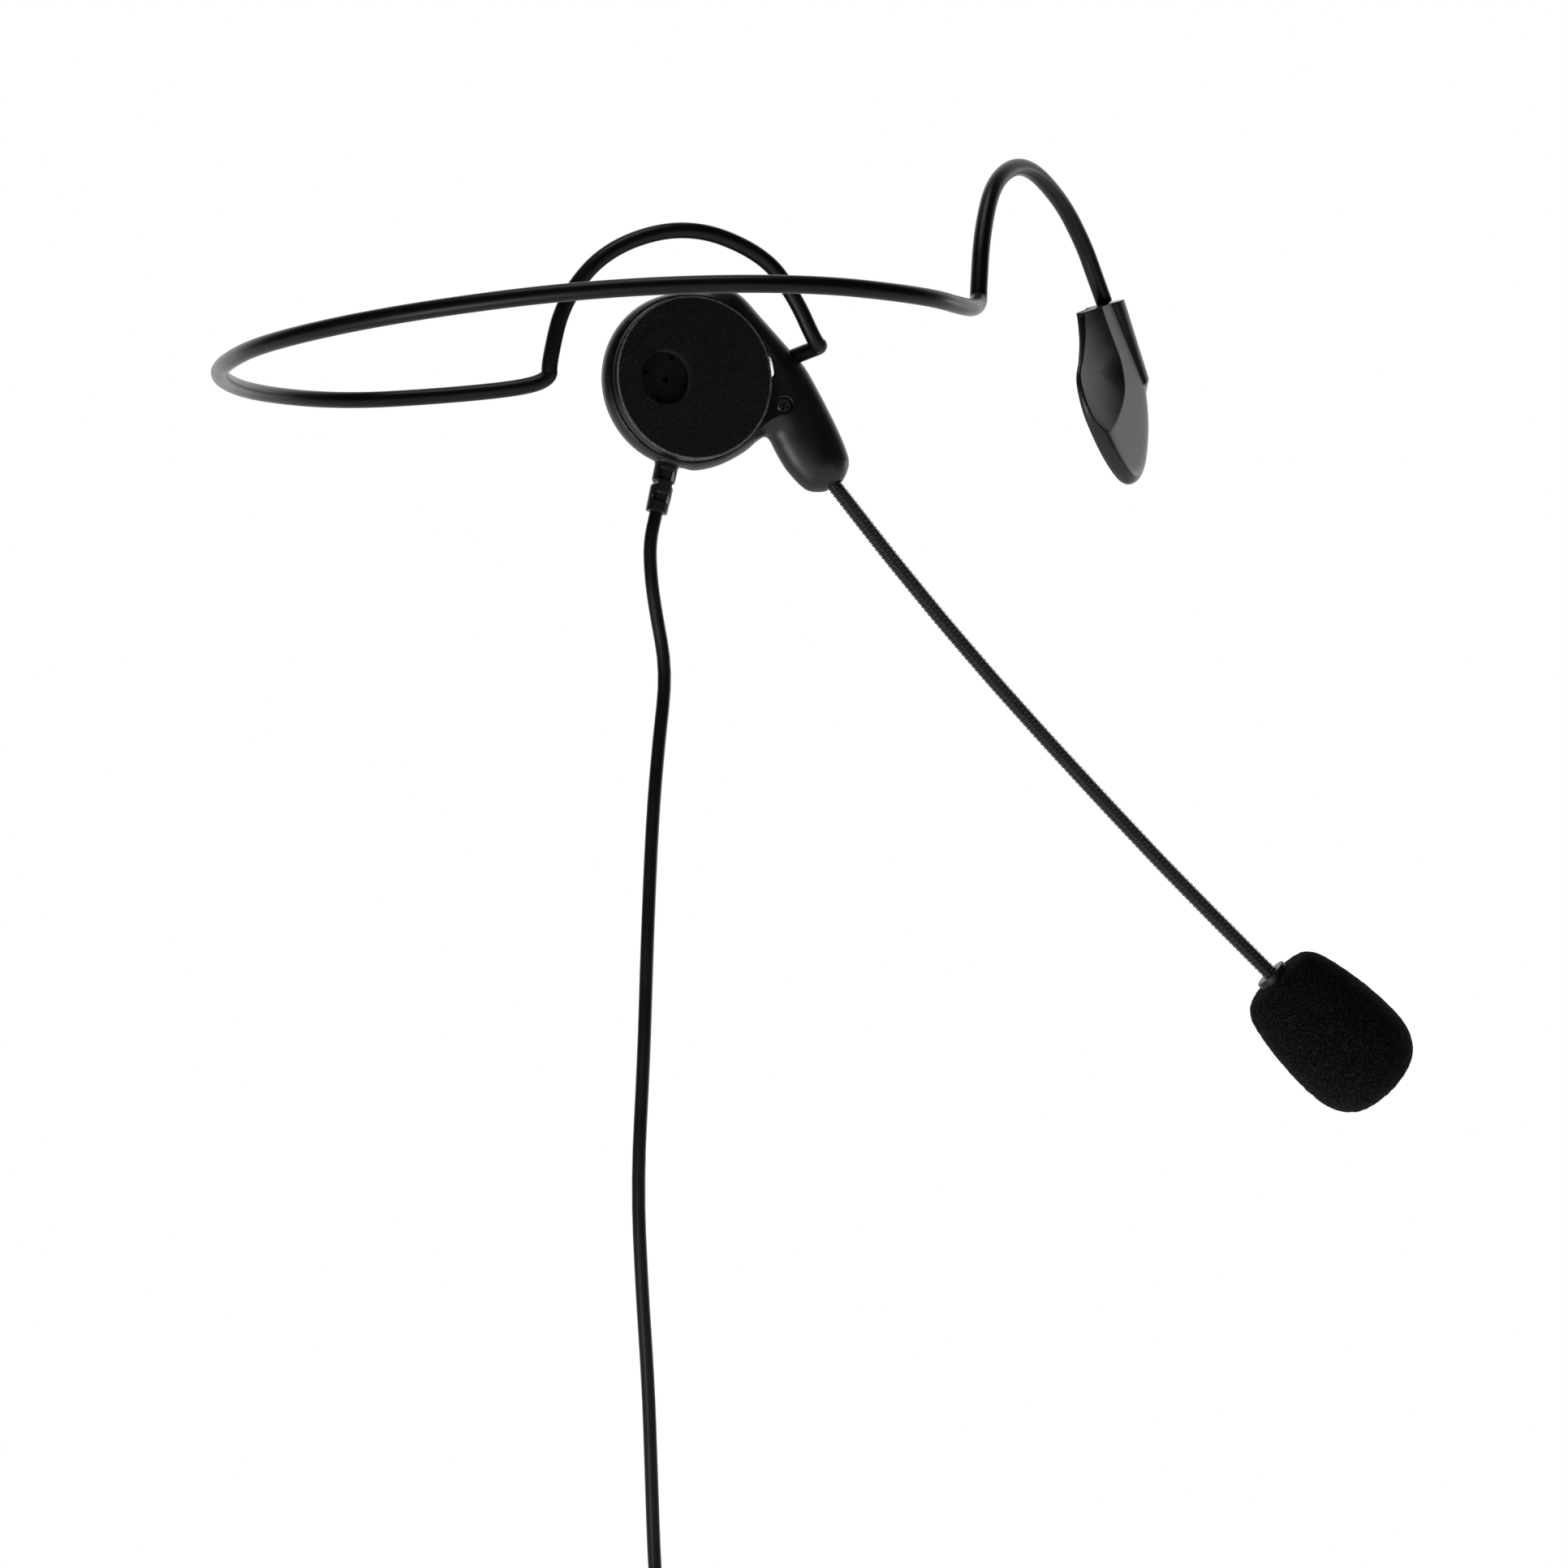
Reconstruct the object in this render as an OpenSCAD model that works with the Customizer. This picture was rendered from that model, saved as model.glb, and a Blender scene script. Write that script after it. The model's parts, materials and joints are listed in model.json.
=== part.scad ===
// Behind-the-head headset with one earphone, a gooseneck boom microphone and a temple pad.
// Millimetres, as worn: +X is the wearer's forward, +Y the wearer's left, +Z up.
// The origin lies midway between the two lower corners of the ear hooks.

/* [Neckband] */
// half the distance between the lower corners of the two ear hooks
half_spread = 74; // [60:1:85]
// toe-in of each ear hook toward the front, degrees
toe_in = 21.5; // [10:0.5:30]
// inward lean of the top of each ear hook, degrees
hook_lean = 7.5; // [0:0.5:12]
// outside diameter of the sleeve
sleeve_d = 3.8; // [3:0.1:5]
// diameter of the spring wire inside the sleeve
wire_d = 2.2; // [1.8:0.1:2.6]

/* [Earphone] */
// distance of the earphone's centre in front of the hook's lower corner
ear_forward = 36.3; // [30:0.1:42]
// height of the earphone's centre above the hook's lower corner
ear_height = 3.5; // [-5:0.5:10]
// outside radius of the hoop that carries the pod
hoop_r = 21; // [20:0.1:24]
// radius of the hole in the hoop
hoop_hole_r = 20; // [19:0.1:22]
// radius of the pod
pod_r = 19.4; // [18:0.1:20]
// radius of the foam pad
foam_r = 19.3; // [15:0.1:20]
// radius of the hole in the foam pad
foam_hole_r = 6.3; // [3:0.1:8]
// wall thickness of the housing
wall = 1.3; // [1:0.1:2]

/* [Boom] */
// outside diameter of the gooseneck
neck_d = 3.8; // [3.4:0.1:4.2]
// exposed length of each gooseneck link
link_len = 20; // [15:0.5:25]
// radius of the windscreen at its widest
screen_r = 14.5; // [13:0.5:17]

/* [Cable] */
// outside diameter of the cable
cable_d = 3.2; // [2.5:0.1:4]
// diameter of the coil at the middle of its turns
coil_mid_d = 35; // [30:1:45]

/* [Temple pad] */
// thickness of the plastic carrier
pad_carrier_t = 1.2; // [0.8:0.1:2]
// height of the cushion's crown above its rim
pad_crown = 3.4; // [1:0.1:4]
// outside diameter of the socket for the wire, at its mouth
pad_socket_d = 8.4; // [7.5:0.1:9]

/* [Hidden] */
$fn = 48;
e = 0.05;              // overlap that makes two joined shapes one
run = 0.05;            // radial running clearance of a pin in its bore
slack = 0.15;          // radial clearance where nothing bears

// ---- small helpers

// point of a quadratic curve that leaves the middle of a-b and arrives at the middle of b-c
function bend_at(a, b, c, t) =
    (1 - t) * (1 - t) * (a + b) / 2 + 2 * t * (1 - t) * b + t * t * (b + c) / 2;

// smooth path through a list of guide points: it starts at the first and ends at the last
function smooth(p, n) = concat(
    [p[0]],
    [for (i = [1:len(p) - 2], k = [(i == 1 ? 0 : 1):n]) bend_at(p[i - 1], p[i], p[i + 1], k / n)],
    [p[len(p) - 1]]);

function unit(v) = v / norm(v);
function path_dir(p, i) =
    i == 0 ? unit(p[1] - p[0])
    : i == len(p) - 1 ? unit(p[i] - p[i - 1])
    : unit(unit(p[i + 1] - p[i]) + unit(p[i] - p[i - 1]));

// sideways vectors carried along the path without twisting
function carry(v, d) = unit(v - (v * d) * d);
function sides_along(p, v, i = 0, done = []) =
    i == len(p) ? done
    : let (s = carry(v, path_dir(p, i))) sides_along(p, s, i + 1, concat(done, [s]));

function ring(c, d, s, r, n) =
    let (q = cross(d, s)) [for (k = [0:n - 1]) c + r * (cos(360 * k / n) * s + sin(360 * k / n) * q)];

// side faces between ring a and ring b, seen from outside when flip is false
function band_faces(a, b, n, flip) = [for (k = [0:n - 1])
    let (f = [a + k, a + (k + 1) % n, b + (k + 1) % n, b + k]) flip ? [f[3], f[2], f[1], f[0]] : f];

// solid round rod along a path
module rod_along(p, r, n) {
    s = sides_along(p, [0.1, 0.2, 1]);
    m = len(p);
    points = [for (i = [0:m - 1]) each ring(p[i], path_dir(p, i), s[i], r, n)];
    faces = concat(
        [[for (k = [0:n - 1]) k]],
        [for (i = [0:m - 2]) each band_faces(i * n, (i + 1) * n, n, true)],
        [[for (k = [n - 1:-1:0]) (m - 1) * n + k]]);
    polyhedron(points, faces);
}

// round tube along a path, open at both ends
module tube_along(p, r_out, r_in, n) {
    s = sides_along(p, [0.1, 0.2, 1]);
    m = len(p);
    points = concat(
        [for (i = [0:m - 1]) each ring(p[i], path_dir(p, i), s[i], r_out, n)],
        [for (i = [0:m - 1]) each ring(p[i], path_dir(p, i), s[i], r_in, n)]);
    inner = m * n;
    last = (m - 1) * n;
    faces = concat(
        [for (i = [0:m - 2]) each band_faces(i * n, (i + 1) * n, n, true)],
        [for (i = [0:m - 2]) each band_faces(inner + i * n, inner + (i + 1) * n, n, false)],
        band_faces(0, inner, n, false),
        band_faces(last, inner + last, n, true));
    polyhedron(points, faces);
}

// cylinder from y0 to y1, on an axis that points outward (+Y) at x, z
module outward(x, z, y0, y1, r, r2 = undef) {
    translate([x, y0, z]) rotate([-90, 0, 0])
        cylinder(h = y1 - y0, r1 = r, r2 = is_undef(r2) ? r : r2);
}

// ring turned about the outward axis from a profile drawn as [radius, y]
module turned_outward() {
    rotate([-90, 0, 0]) rotate_extrude($fn = 96) children();
}

// ---- frames

// left ear hook: x forward in the hook's plane, y outward, z up
module at_left_hook() {
    translate([0, half_spread, 0]) rotate([0, 0, -toe_in]) children();
}

// right ear hook: x forward in the hook's plane, y inward, z up
module at_right_hook() {
    translate([0, -half_spread, 0]) rotate([0, 0, toe_in]) children();
}

module at_ear() {
    at_left_hook() translate([ear_forward, 0, ear_height]) children();
}

function in_left_hook(v) = [
    v[0] * cos(toe_in) + v[1] * sin(toe_in),
    half_spread - v[0] * sin(toe_in) + v[1] * cos(toe_in),
    v[2]];
function in_ear(v) = in_left_hook(v + [ear_forward, 0, ear_height]);
function mirror_y(v) = [v[0], -v[1], v[2]];
// a point of the leaning hook plane, given as forward and up
function hook_plane(p) = [p[0], -p[1] * sin(hook_lean), p[1] * cos(hook_lean)];

// ---- the bent wire

// guide points behind the head: the middle of the back, then each side on its way to the hook;
// the right side's are given as if they lay on the left
back_middle = [-140, 0, -10.5];
left_back = [[-127.5, 32.5, -11], [-101.5, 67.5, -8.5], [-71.5, 93.5, -6.5], [-41.5, 100.5, -5],
             [-21, 90, -3], [-6, 77, -1]];
right_back = [[-130.5, 34, -7], [-105.5, 68, -3], [-73.5, 93.5, -1.5], [-43, 100, -2],
              [-21, 90, -1.5], [-6.5, 77.5, 1.5]];
// guide points of the hooks in their own planes, as forward and up
left_hook = [[0, 1.5], [-0.5, 5], [2.5, 20.5], [13.5, 33.5], [33, 39.5], [52, 33.5], [60.5, 23.5], [66.2, 12.9]];
right_hook = [[-3, 3.5], [-2.5, 5.5], [3.5, 20], [14, 33.5], [32, 40], [50, 34], [60, 25]];

// pivot where the wire enters the earphone housing, in the ear frame
pivot_mouth = [27.7, 6.5, 7.2];
pivot_back = 30;       // its lean toward the back, degrees
pivot_drop = 12;       // its lean downward, degrees
pivot_dir = [-sin(pivot_back) * cos(pivot_drop), cos(pivot_back) * cos(pivot_drop), -sin(pivot_drop)];
pivot_run = 8.3;       // length of the wire's outward leg
sleeve_in = 1;         // depth of the sleeve in the housing
bush_start = 1.25;
bush_len = 2.7;
bush_r = 1.8;
clip_t = 0.5;
clip_r = 1.9;
pin_end = 4.8;
pocket_end = 5.1;

// mouth of the temple pad's socket, as forward and up, and how far its axis leans forward
pad_mouth = [67.3, 13.5];
pad_lean = 33;
pad_dir = [sin(pad_lean), -cos(pad_lean)];
pad_pin = 12;          // length of bare wire in the socket

left_leg = [for (p = left_hook) in_left_hook(hook_plane(p))];
left_end = [
    in_ear(pivot_mouth - pivot_run * pivot_dir),
    in_ear(pivot_mouth - 0.55 * pivot_run * pivot_dir),
    in_ear(pivot_mouth + sleeve_in * pivot_dir)];
right_end = [
    mirror_y(in_left_hook(hook_plane(pad_mouth + sleeve_in * pad_dir))),
    mirror_y(in_left_hook(hook_plane(pad_mouth - 6 * pad_dir)))];
right_leg = [for (i = [len(right_hook) - 1:-1:0]) mirror_y(in_left_hook(hook_plane(right_hook[i])))];
right_side = [for (i = [len(right_back) - 1:-1:0]) mirror_y(right_back[i])];
wire_guide = concat(right_end, right_leg, right_side, [back_middle], left_back, left_leg, left_end);
wire_path = smooth(wire_guide, 5);
wire_sides = 10;

module at_pivot() {
    at_ear() translate(pivot_mouth) rotate([0, 0, pivot_back]) rotate([-90 - pivot_drop, 0, 0])
        children();
}

module at_pad_pin() {
    at_right_hook() rotate([-hook_lean, 0, 0]) translate([pad_mouth[0], 0, pad_mouth[1]])
        rotate([0, 180 - pad_lean, 0]) children();
}

module neckband_wire() color([0.75, 0.75, 0.76]) {
    rod_along(wire_path, wire_d / 2 - 0.05, wire_sides);
    at_pivot() translate([0, 0, sleeve_in - 0.4]) cylinder(h = pin_end - sleeve_in + 0.4, r = wire_d / 2);
    at_pad_pin() translate([0, 0, sleeve_in - 0.4]) cylinder(h = pad_pin - sleeve_in + 0.4, r = wire_d / 2);
}

module neckband_sleeve() color([0.07, 0.07, 0.08])
    tube_along(wire_path, sleeve_d / 2, wire_d / 2 - 0.03, wire_sides);

// push-on rings that keep the wire's ends in the housing and in the pad
module wire_end_rings() color([0.6, 0.6, 0.62]) {
    at_pivot() translate([0, 0, bush_start + bush_len + 0.15]) end_ring();
    at_pad_pin() translate([0, 0, pad_pin - 1]) end_ring();
}

module end_ring() {
    difference() {
        cylinder(h = clip_t, r = clip_r);
        translate([0, 0, -1]) cylinder(h = clip_t + 2, r = wire_d / 2 - 0.02);
    }
}

// ---- earphone housing

split_y = 7;           // plane where the two halves meet
hoop_y0 = 3.6;
hoop_y1 = 9.4;
arm_y = 7.6;           // middle of the arm's thickness
arm_round = 5.4;       // rounding of the arm's edges
// centres of the arm's rounding, as forward and up
arm_corners = [[2.7, 15.6], [10.3, 17.2], [15.2, 12.6], [26, 1.6], [33.8, -11.9], [36.3, -18.4],
               [34.3, -19.8], [31.5, -19.4], [27.3, -9.9], [18.7, -3]];
arm_hollow = [[26, 1.6], [33.8, -11.9], [34.7, -16], [31, -15], [26.9, -9.8], [24, -3]];
slit_r0 = 21;        // outer wall of the slit beside the pod, at the front
slit_r1 = 23.2;        // and at the back
slit_from = 4;         // the slit's ends, degrees above level
slit_to = 15;
screw_at = [23.6, -5.3];
screw_y = 2.9;         // front of the screw's head
pod_pin_r = 1;
pod_pin_end = 20.7;
neck_exit = [37.5, 6.8, -23];
relief_at = [-4.9, 6.5, -20.6];
relief_tilt = 13;      // lean of the cable's strain relief toward the back, degrees

module hoop_solid() {
    mid = (hoop_r + hoop_hole_r) / 2;
    t = (hoop_r - hoop_hole_r) / 2;
    turned_outward() {
        translate([mid - t, hoop_y0 + t]) square([2 * t, hoop_y1 - hoop_y0 - 2 * t]);
        translate([mid, hoop_y0 + t]) circle(t);
        translate([mid, hoop_y1 - t]) circle(t);
    }
}

module arm_solid(shrink, corners) {
    hull() for (c = corners)
        translate([c[0], arm_y, c[1]]) sphere(r = arm_round - shrink, $fn = 28);
}

module slit_cut() {
    intersection() {
        difference() {
            outward(0, 0, hoop_y0 - 3, hoop_y1 + 5, slit_r0 - 0.6, slit_r1 + 1);
            outward(0, 0, hoop_y0 - 4, hoop_y1 + 6, hoop_hole_r - 1);
        }
        rotate([0, -slit_from, 0]) translate([15, -5, 0])
            cube([15, 30, 15 * sin(slit_to - slit_from) + 2.6]);
    }
}

module housing_solid() {
    difference() {
        union() {
            hoop_solid();
            arm_solid(0, arm_corners);
            intersection() {
                relief_collar();
                outward(0, 0, hoop_y0 + 0.6, hoop_y1 - 0.6, 24);
            }
        }
        outward(0, 0, -10, 25, hoop_hole_r);
        slit_cut();
        // bores for the pod's stub pins
        for (a = [0, 180]) rotate([0, a, 0])
            translate([0, split_y, 0]) rotate([0, 90, 0]) cylinder(h = pod_pin_end + 0.1, r = pod_pin_r + run);
        // mouth, bush seat and ring pocket of the wire's pivot
        in_arm_pivot() {
            translate([0, 0, -6]) cylinder(h = 6 + bush_start, r = sleeve_d / 2 + slack);
            translate([0, 0, bush_start - e]) cylinder(h = bush_len + 2 * e, r = bush_r);
            translate([0, 0, bush_start + bush_len]) cylinder(h = pocket_end - bush_start - bush_len, r = clip_r + slack);
        }
        // seat of the gooseneck's ferrule and its mouth
        at_neck_root() {
            translate([0, 0, -9]) cylinder(h = 7, r = 2.6);
            translate([0, 0, -9]) cylinder(h = 14, r = neck_d / 2 + 0.02);
        }
        // seat of the cable's strain relief
        at_relief() translate([0, 0, -3]) cylinder(h = 8, r = relief_seat_r);
    }
}

module in_arm_pivot() {
    translate(pivot_mouth) rotate([0, 0, pivot_back]) rotate([-90 - pivot_drop, 0, 0]) children();
}

module at_neck_root() {
    translate(neck_exit) rotate([link_inward[0], 90 + link_heading[0], 0]) children();
}

module at_relief() {
    translate(relief_at) rotate([0, 180 + relief_tilt, 0]) children();
}

module relief_collar() {
    at_relief() translate([0, 0, -3.2]) cylinder(h = 3.4, r = 2.9);
}

module arm_hollow_solid() {
    difference() {
        arm_solid(wall + 0.1, arm_hollow);
        outward(0, 0, -10, 25, slit_r1 + 0.9);
        outward(screw_at[0], screw_at[1], -10, 25, 2.3);
        in_arm_pivot() translate([0, 0, -3]) cylinder(h = pocket_end + 4, r = clip_r + slack + 0.9);
        at_neck_root() translate([0, 0, -10]) cylinder(h = 16, r = 3.5);
    }
}

module housing_front() color([0.09, 0.09, 0.10]) at_ear() difference() {
    intersection() {
        housing_solid();
        translate([-40, -10, -40]) cube([100, 10 + split_y, 80]);
    }
    arm_hollow_solid();
    outward(screw_at[0], screw_at[1], -5, screw_y + 1.3, 2.0);
    outward(screw_at[0], screw_at[1], 0, 20, 1.1);
}

module housing_rear() color([0.09, 0.09, 0.10]) at_ear() difference() {
    intersection() {
        housing_solid();
        translate([-40, split_y, -40]) cube([100, 20, 80]);
    }
    arm_hollow_solid();
    outward(screw_at[0], screw_at[1], 0, screw_y + 9, 1.0);
}

module housing_screw() color([0.12, 0.12, 0.13]) at_ear() difference() {
    union() {
        outward(screw_at[0], screw_at[1], screw_y + 0.3, screw_y + 1.3, 1.85);
        outward(screw_at[0], screw_at[1], screw_y, screw_y + 0.3 + e, 1.5, 1.85);
        outward(screw_at[0], screw_at[1], screw_y + 1.3 - e, screw_y + 8.6, 0.98);
    }
    for (a = [20, 110]) translate([screw_at[0], screw_y - 1, screw_at[1]])
        rotate([0, a, 0]) translate([-1.15, 0, -0.25]) cube([2.3, 1.7, 0.5]);
}

module pivot_bush() color([0.72, 0.58, 0.30]) at_pivot() translate([0, 0, bush_start]) difference() {
    cylinder(h = bush_len, r = bush_r);
    translate([0, 0, -1]) cylinder(h = bush_len + 2, r = wire_d / 2 + run);
}

module terminal_board() color([0.05, 0.30, 0.14]) at_ear() difference() {
    translate([31.5, 8.6, -10.5]) rotate([0, 62, 0]) translate([-3.8, 0, -2]) cube([7.6, 0.8, 4]);
    for (k = [-1:1]) translate([31.5, 0, -10.5]) rotate([0, 62, 0]) translate([2.4 * k, 0, 0])
        outward(0, 0, 8, 10, 0.35);
}

// ---- earphone pod

pod_y0 = 1.6;
pod_y1 = 12;
plate_y = 3.2;         // front face of the perforated plate
pod_tail_r = 13.5;

module pod_cup() color([0.08, 0.08, 0.09]) at_ear() difference() {
    turned_outward() polygon([
        [0, pod_y1], [pod_tail_r, pod_y1], [pod_r - 1, 10.2], [pod_r, 8.8], [pod_r, pod_y0 + 0.4],
        [pod_r - 0.4, pod_y0], [pod_r - 1.6, pod_y0], [pod_r - 1.6, 8.2], [pod_r - 2.8, 9.6],
        [pod_tail_r - 0.8, pod_y1 - 1.2], [0, pod_y1 - 1.2]]);
    for (a = [0, 180]) rotate([0, a, 0])
        translate([0, split_y, 0]) rotate([0, 90, 0]) cylinder(h = pod_r + 2, r = pod_pin_r);
}

module pod_plate() color([0.10, 0.10, 0.11]) at_ear() difference() {
    outward(0, 0, plate_y, plate_y + 1, pod_r - 1.6);
    outward(-6.5, -0.3, 0, 10, 0.85);
    for (a = [0:90:270])
        outward(-6.5 + 5.4 * cos(a - 16), -0.3 + 5.4 * sin(a - 16), 0, 10, 0.75);
}

module pod_pins() color([0.10, 0.10, 0.11]) at_ear()
    for (a = [0, 180]) rotate([0, a, 0]) translate([pod_r - 2.4, split_y, 0])
        rotate([0, 90, 0]) cylinder(h = pod_pin_end - pod_r + 2.4, r = pod_pin_r);

module foam_pad() color([0.16, 0.16, 0.17]) at_ear() difference() {
    union() {
        outward(0, 0, 0.5, 1.5, foam_r);
        outward(0, 0, 0, 0.5 + e, foam_r - 0.5, foam_r);
        outward(0, 0, 1.5 - e, plate_y, pod_r - 1.7);
    }
    outward(-6.5, -0.3, -1, 10, foam_hole_r);
}

module driver_frame() color([0.30, 0.30, 0.32]) at_ear() turned_outward()
    polygon([[15.6, 4.3], [15.6, 5.6], [9.5, 8.2], [8, 8.2], [8, 7.2], [9, 7.2], [14, 5], [14, 4.3]]);

module driver_magnet() color([0.45, 0.45, 0.48]) at_ear() outward(0, 0, 8.2, 10.6, 7.5);

module driver_cone() color([0.80, 0.78, 0.70]) at_ear() turned_outward()
    polygon([[0, 5.4], [5, 5.1], [13.9, 4.6], [13.9, 4.8], [5.1, 5.5], [5.1, 7], [4.9, 7], [4.9, 5.6], [0, 5.7]]);

// ---- cable strain relief: a tapered sleeve with slots in turn at its faces and at its sides

relief_len = 11.5;
relief_r = 2.85;       // radius at the housing
relief_end_r = 2.6;    // radius at the cable's end
relief_core_r = 1.75;  // what the slots leave round the cable
relief_rib_x = 2.2;    // where the side ribs beside the windows begin
relief_stem = 2.8;     // length of the stem before it is cut flush with the hoop
relief_seat_r = 1.9;   // radius of the stem in the housing
// windows on the two faces and notches on the two sides, each from and to along the sleeve
relief_windows = [[1, 3.7], [6.9, 9.1]];
relief_notches = [[4.2, 5.1]];

module strain_relief() color([0.06, 0.06, 0.07]) at_ear() difference() {
    at_relief() difference() {
        union() {
            difference() {
                cylinder(h = relief_len, r1 = relief_r, r2 = relief_end_r);
                for (w = relief_windows)
                    translate([-relief_rib_x, -relief_r - 1, w[0]])
                        cube([2 * relief_rib_x, 2 * relief_r + 2, w[1] - w[0]]);
                for (w = relief_notches) for (side = [-1, 1])
                    translate([side * (relief_core_r + 2) - 2, -relief_r - 1, w[0]])
                        cube([4, 2 * relief_r + 2, w[1] - w[0]]);
            }
            translate([0, 0, -relief_stem]) cylinder(h = relief_len + relief_stem - 0.5, r = relief_core_r);
            translate([0, 0, -relief_stem]) cylinder(h = relief_stem + e, r = relief_seat_r - 0.02);
        }
        translate([0, 0, relief_len - 2]) cylinder(h = 3, r = cable_d / 2);
    }
    // the stem ends flush with the inside of the hoop
    outward(0, 0, -10, 25, hoop_hole_r + 0.2);
}

// ---- gooseneck

links = 8;
// heading of each link below level, in the ear frame, degrees
link_heading = [50.5, 49.5, 48, 47, 46.5, 46, 45, 44.5];
link_inward = [3, 4, 4, 5, 6, 6, 7, 7];
ball_r = 1.05;
ball_gap = 0.1;
link_gap = 0.7;        // gap between neighbouring links, for the bend

function link_dir(i) = [
    cos(link_heading[i]) * cos(link_inward[i]),
    -sin(link_inward[i]),
    -sin(link_heading[i]) * cos(link_inward[i])];
function link_start(i) = i == 0 ? neck_exit + 2 * link_dir(0) : link_start(i - 1) + link_len * link_dir(i - 1);

module at_link(i) {
    at_ear() translate(link_start(i))
        rotate([0, 0, -asin(link_dir(i)[1] * -1 / norm([link_dir(i)[0], link_dir(i)[1]]))])
        rotate([0, 90 + asin(-link_dir(i)[2]), 0]) children();
}

// tube with a socket at its near end and a ball on a stalk at its far end
module link_solid(len, ball) {
    difference() {
        union() {
            translate([0, 0, link_gap / 2]) cylinder(h = len - link_gap, r = neck_d / 2);
            if (ball) {
                translate([0, 0, len - 1]) cylinder(h = 1, r = 0.75);
                translate([0, 0, len]) sphere(r = ball_r);
            }
        }
        // socket, flared so that the next stalk can tilt
        sphere(r = ball_r + ball_gap);
        translate([0, 0, -1]) cylinder(h = 1.9, r1 = 1.9, r2 = 0.95);
        translate([0, 0, -2]) cylinder(h = len + 5, r = 0.4);
    }
}

module gooseneck_ferrule() color([0.55, 0.55, 0.57]) at_ear() at_neck_root() difference() {
    translate([0, 0, -8.9]) cylinder(h = 6.8, r = 2.58);
    translate([0, 0, -10]) cylinder(h = 12, r = neck_d / 2);
}

// root of the gooseneck, held in the housing
module gooseneck_root() color([0.10, 0.10, 0.11]) {
    difference() {
        union() {
            at_ear() at_neck_root() translate([0, 0, -8.5]) cylinder(h = 10.25, r = neck_d / 2 - 0.02);
            at_link(0) {
                translate([0, 0, -1]) cylinder(h = 1, r = 0.75);
                sphere(r = ball_r);
            }
        }
        at_ear() at_neck_root() translate([0, 0, -10]) cylinder(h = 10, r = 0.4);
    }
}

module gooseneck_link(i) color([0.10, 0.10, 0.11]) at_link(i) link_solid(link_len, i < links - 1);

module gooseneck_link_1() gooseneck_link(0);
module gooseneck_link_2() gooseneck_link(1);
module gooseneck_link_3() gooseneck_link(2);
module gooseneck_link_4() gooseneck_link(3);
module gooseneck_link_5() gooseneck_link(4);
module gooseneck_link_6() gooseneck_link(5);
module gooseneck_link_7() gooseneck_link(6);
module gooseneck_link_8() gooseneck_link(7);

// ---- microphone, in the frame of the last link

mic_from = link_len - 2.2;
collar_r = 4.2;
collar_len = 3.8;
screen_from = 1.4;     // where the windscreen begins on the collar
holder_r = 5;
capsule_r = 3;

module mic_collar() color([0.11, 0.11, 0.12]) at_link(links - 1) translate([0, 0, mic_from]) difference() {
    union() {
        cylinder(h = 0.5, r1 = collar_r - 0.5, r2 = collar_r);
        translate([0, 0, 0.5 - e]) cylinder(h = collar_len - 0.5 + e, r = collar_r);
    }
    translate([0, 0, -1]) cylinder(h = 2.15, r = neck_d / 2 + 0.01);
    translate([0, 0, -1]) cylinder(h = 6, r = 0.8);
}

module mic_holder() color([0.11, 0.11, 0.12]) at_link(links - 1) translate([0, 0, mic_from + collar_len]) difference() {
    union() {
        cylinder(h = 3, r1 = collar_r, r2 = holder_r);
        translate([0, 0, 3 - e]) cylinder(h = 13, r = holder_r);
    }
    translate([0, 0, 6]) cylinder(h = 12, r = holder_r - 1);
    translate([0, 0, -1]) cylinder(h = 10, r = 0.8);
    for (a = [0:60:300]) rotate([0, 0, a]) translate([0, 0, 9]) rotate([0, 90, 0])
        cylinder(h = 10, r = 0.8);
}

module capsule_boot() color([0.15, 0.15, 0.15]) at_link(links - 1) translate([0, 0, mic_from + collar_len + 7.5]) difference() {
    cylinder(h = 6, r = holder_r - 1.02);
    translate([0, 0, -1]) cylinder(h = 8, r = capsule_r + 0.01);
}

module mic_capsule() color([0.70, 0.70, 0.72]) at_link(links - 1) translate([0, 0, mic_from + collar_len + 8]) difference() {
    cylinder(h = 5, r = capsule_r);
    translate([0, 0, 4.6]) for (a = [0:72:288]) rotate([0, 0, a]) translate([1.5, 0, 0]) cylinder(h = 1, r = 0.3);
}

screen_len = 39.4;
screen_tilt = 2;       // how far the pushed-on windscreen sits askew, degrees

// half section of the windscreen, as radius and distance from its back
screen_profile = [
    [0, 0], [5, 0], [screen_r - 6, 0.5], [screen_r - 3.9, 1.9], [screen_r - 2.7, 4.2], [screen_r - 1.7, 8],
    [screen_r - 0.7, 14], [screen_r - 0.1, 20], [screen_r, 26], [screen_r - 0.5, 31], [screen_r - 2.2, 34.8],
    [screen_r - 4.9, 37.5], [screen_r - 9, 39], [0, screen_len]];

module windscreen() color([0.08, 0.08, 0.08]) at_link(links - 1) translate([0, 0, mic_from]) difference() {
    rotate([0, -screen_tilt, 0]) translate([0, 0, screen_from]) rotate_extrude($fn = 96) polygon(screen_profile);
    translate([0, 0, -1]) cylinder(h = collar_len + 1, r = collar_r + 0.02);
    translate([0, 0, collar_len - e]) cylinder(h = 3 + e, r1 = collar_r + 0.02, r2 = holder_r + 0.02);
    translate([0, 0, collar_len + 3 - e]) cylinder(h = 14, r = holder_r + 0.02);
}

// ---- cable, coil and plug: the cable hangs from the strain relief

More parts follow.
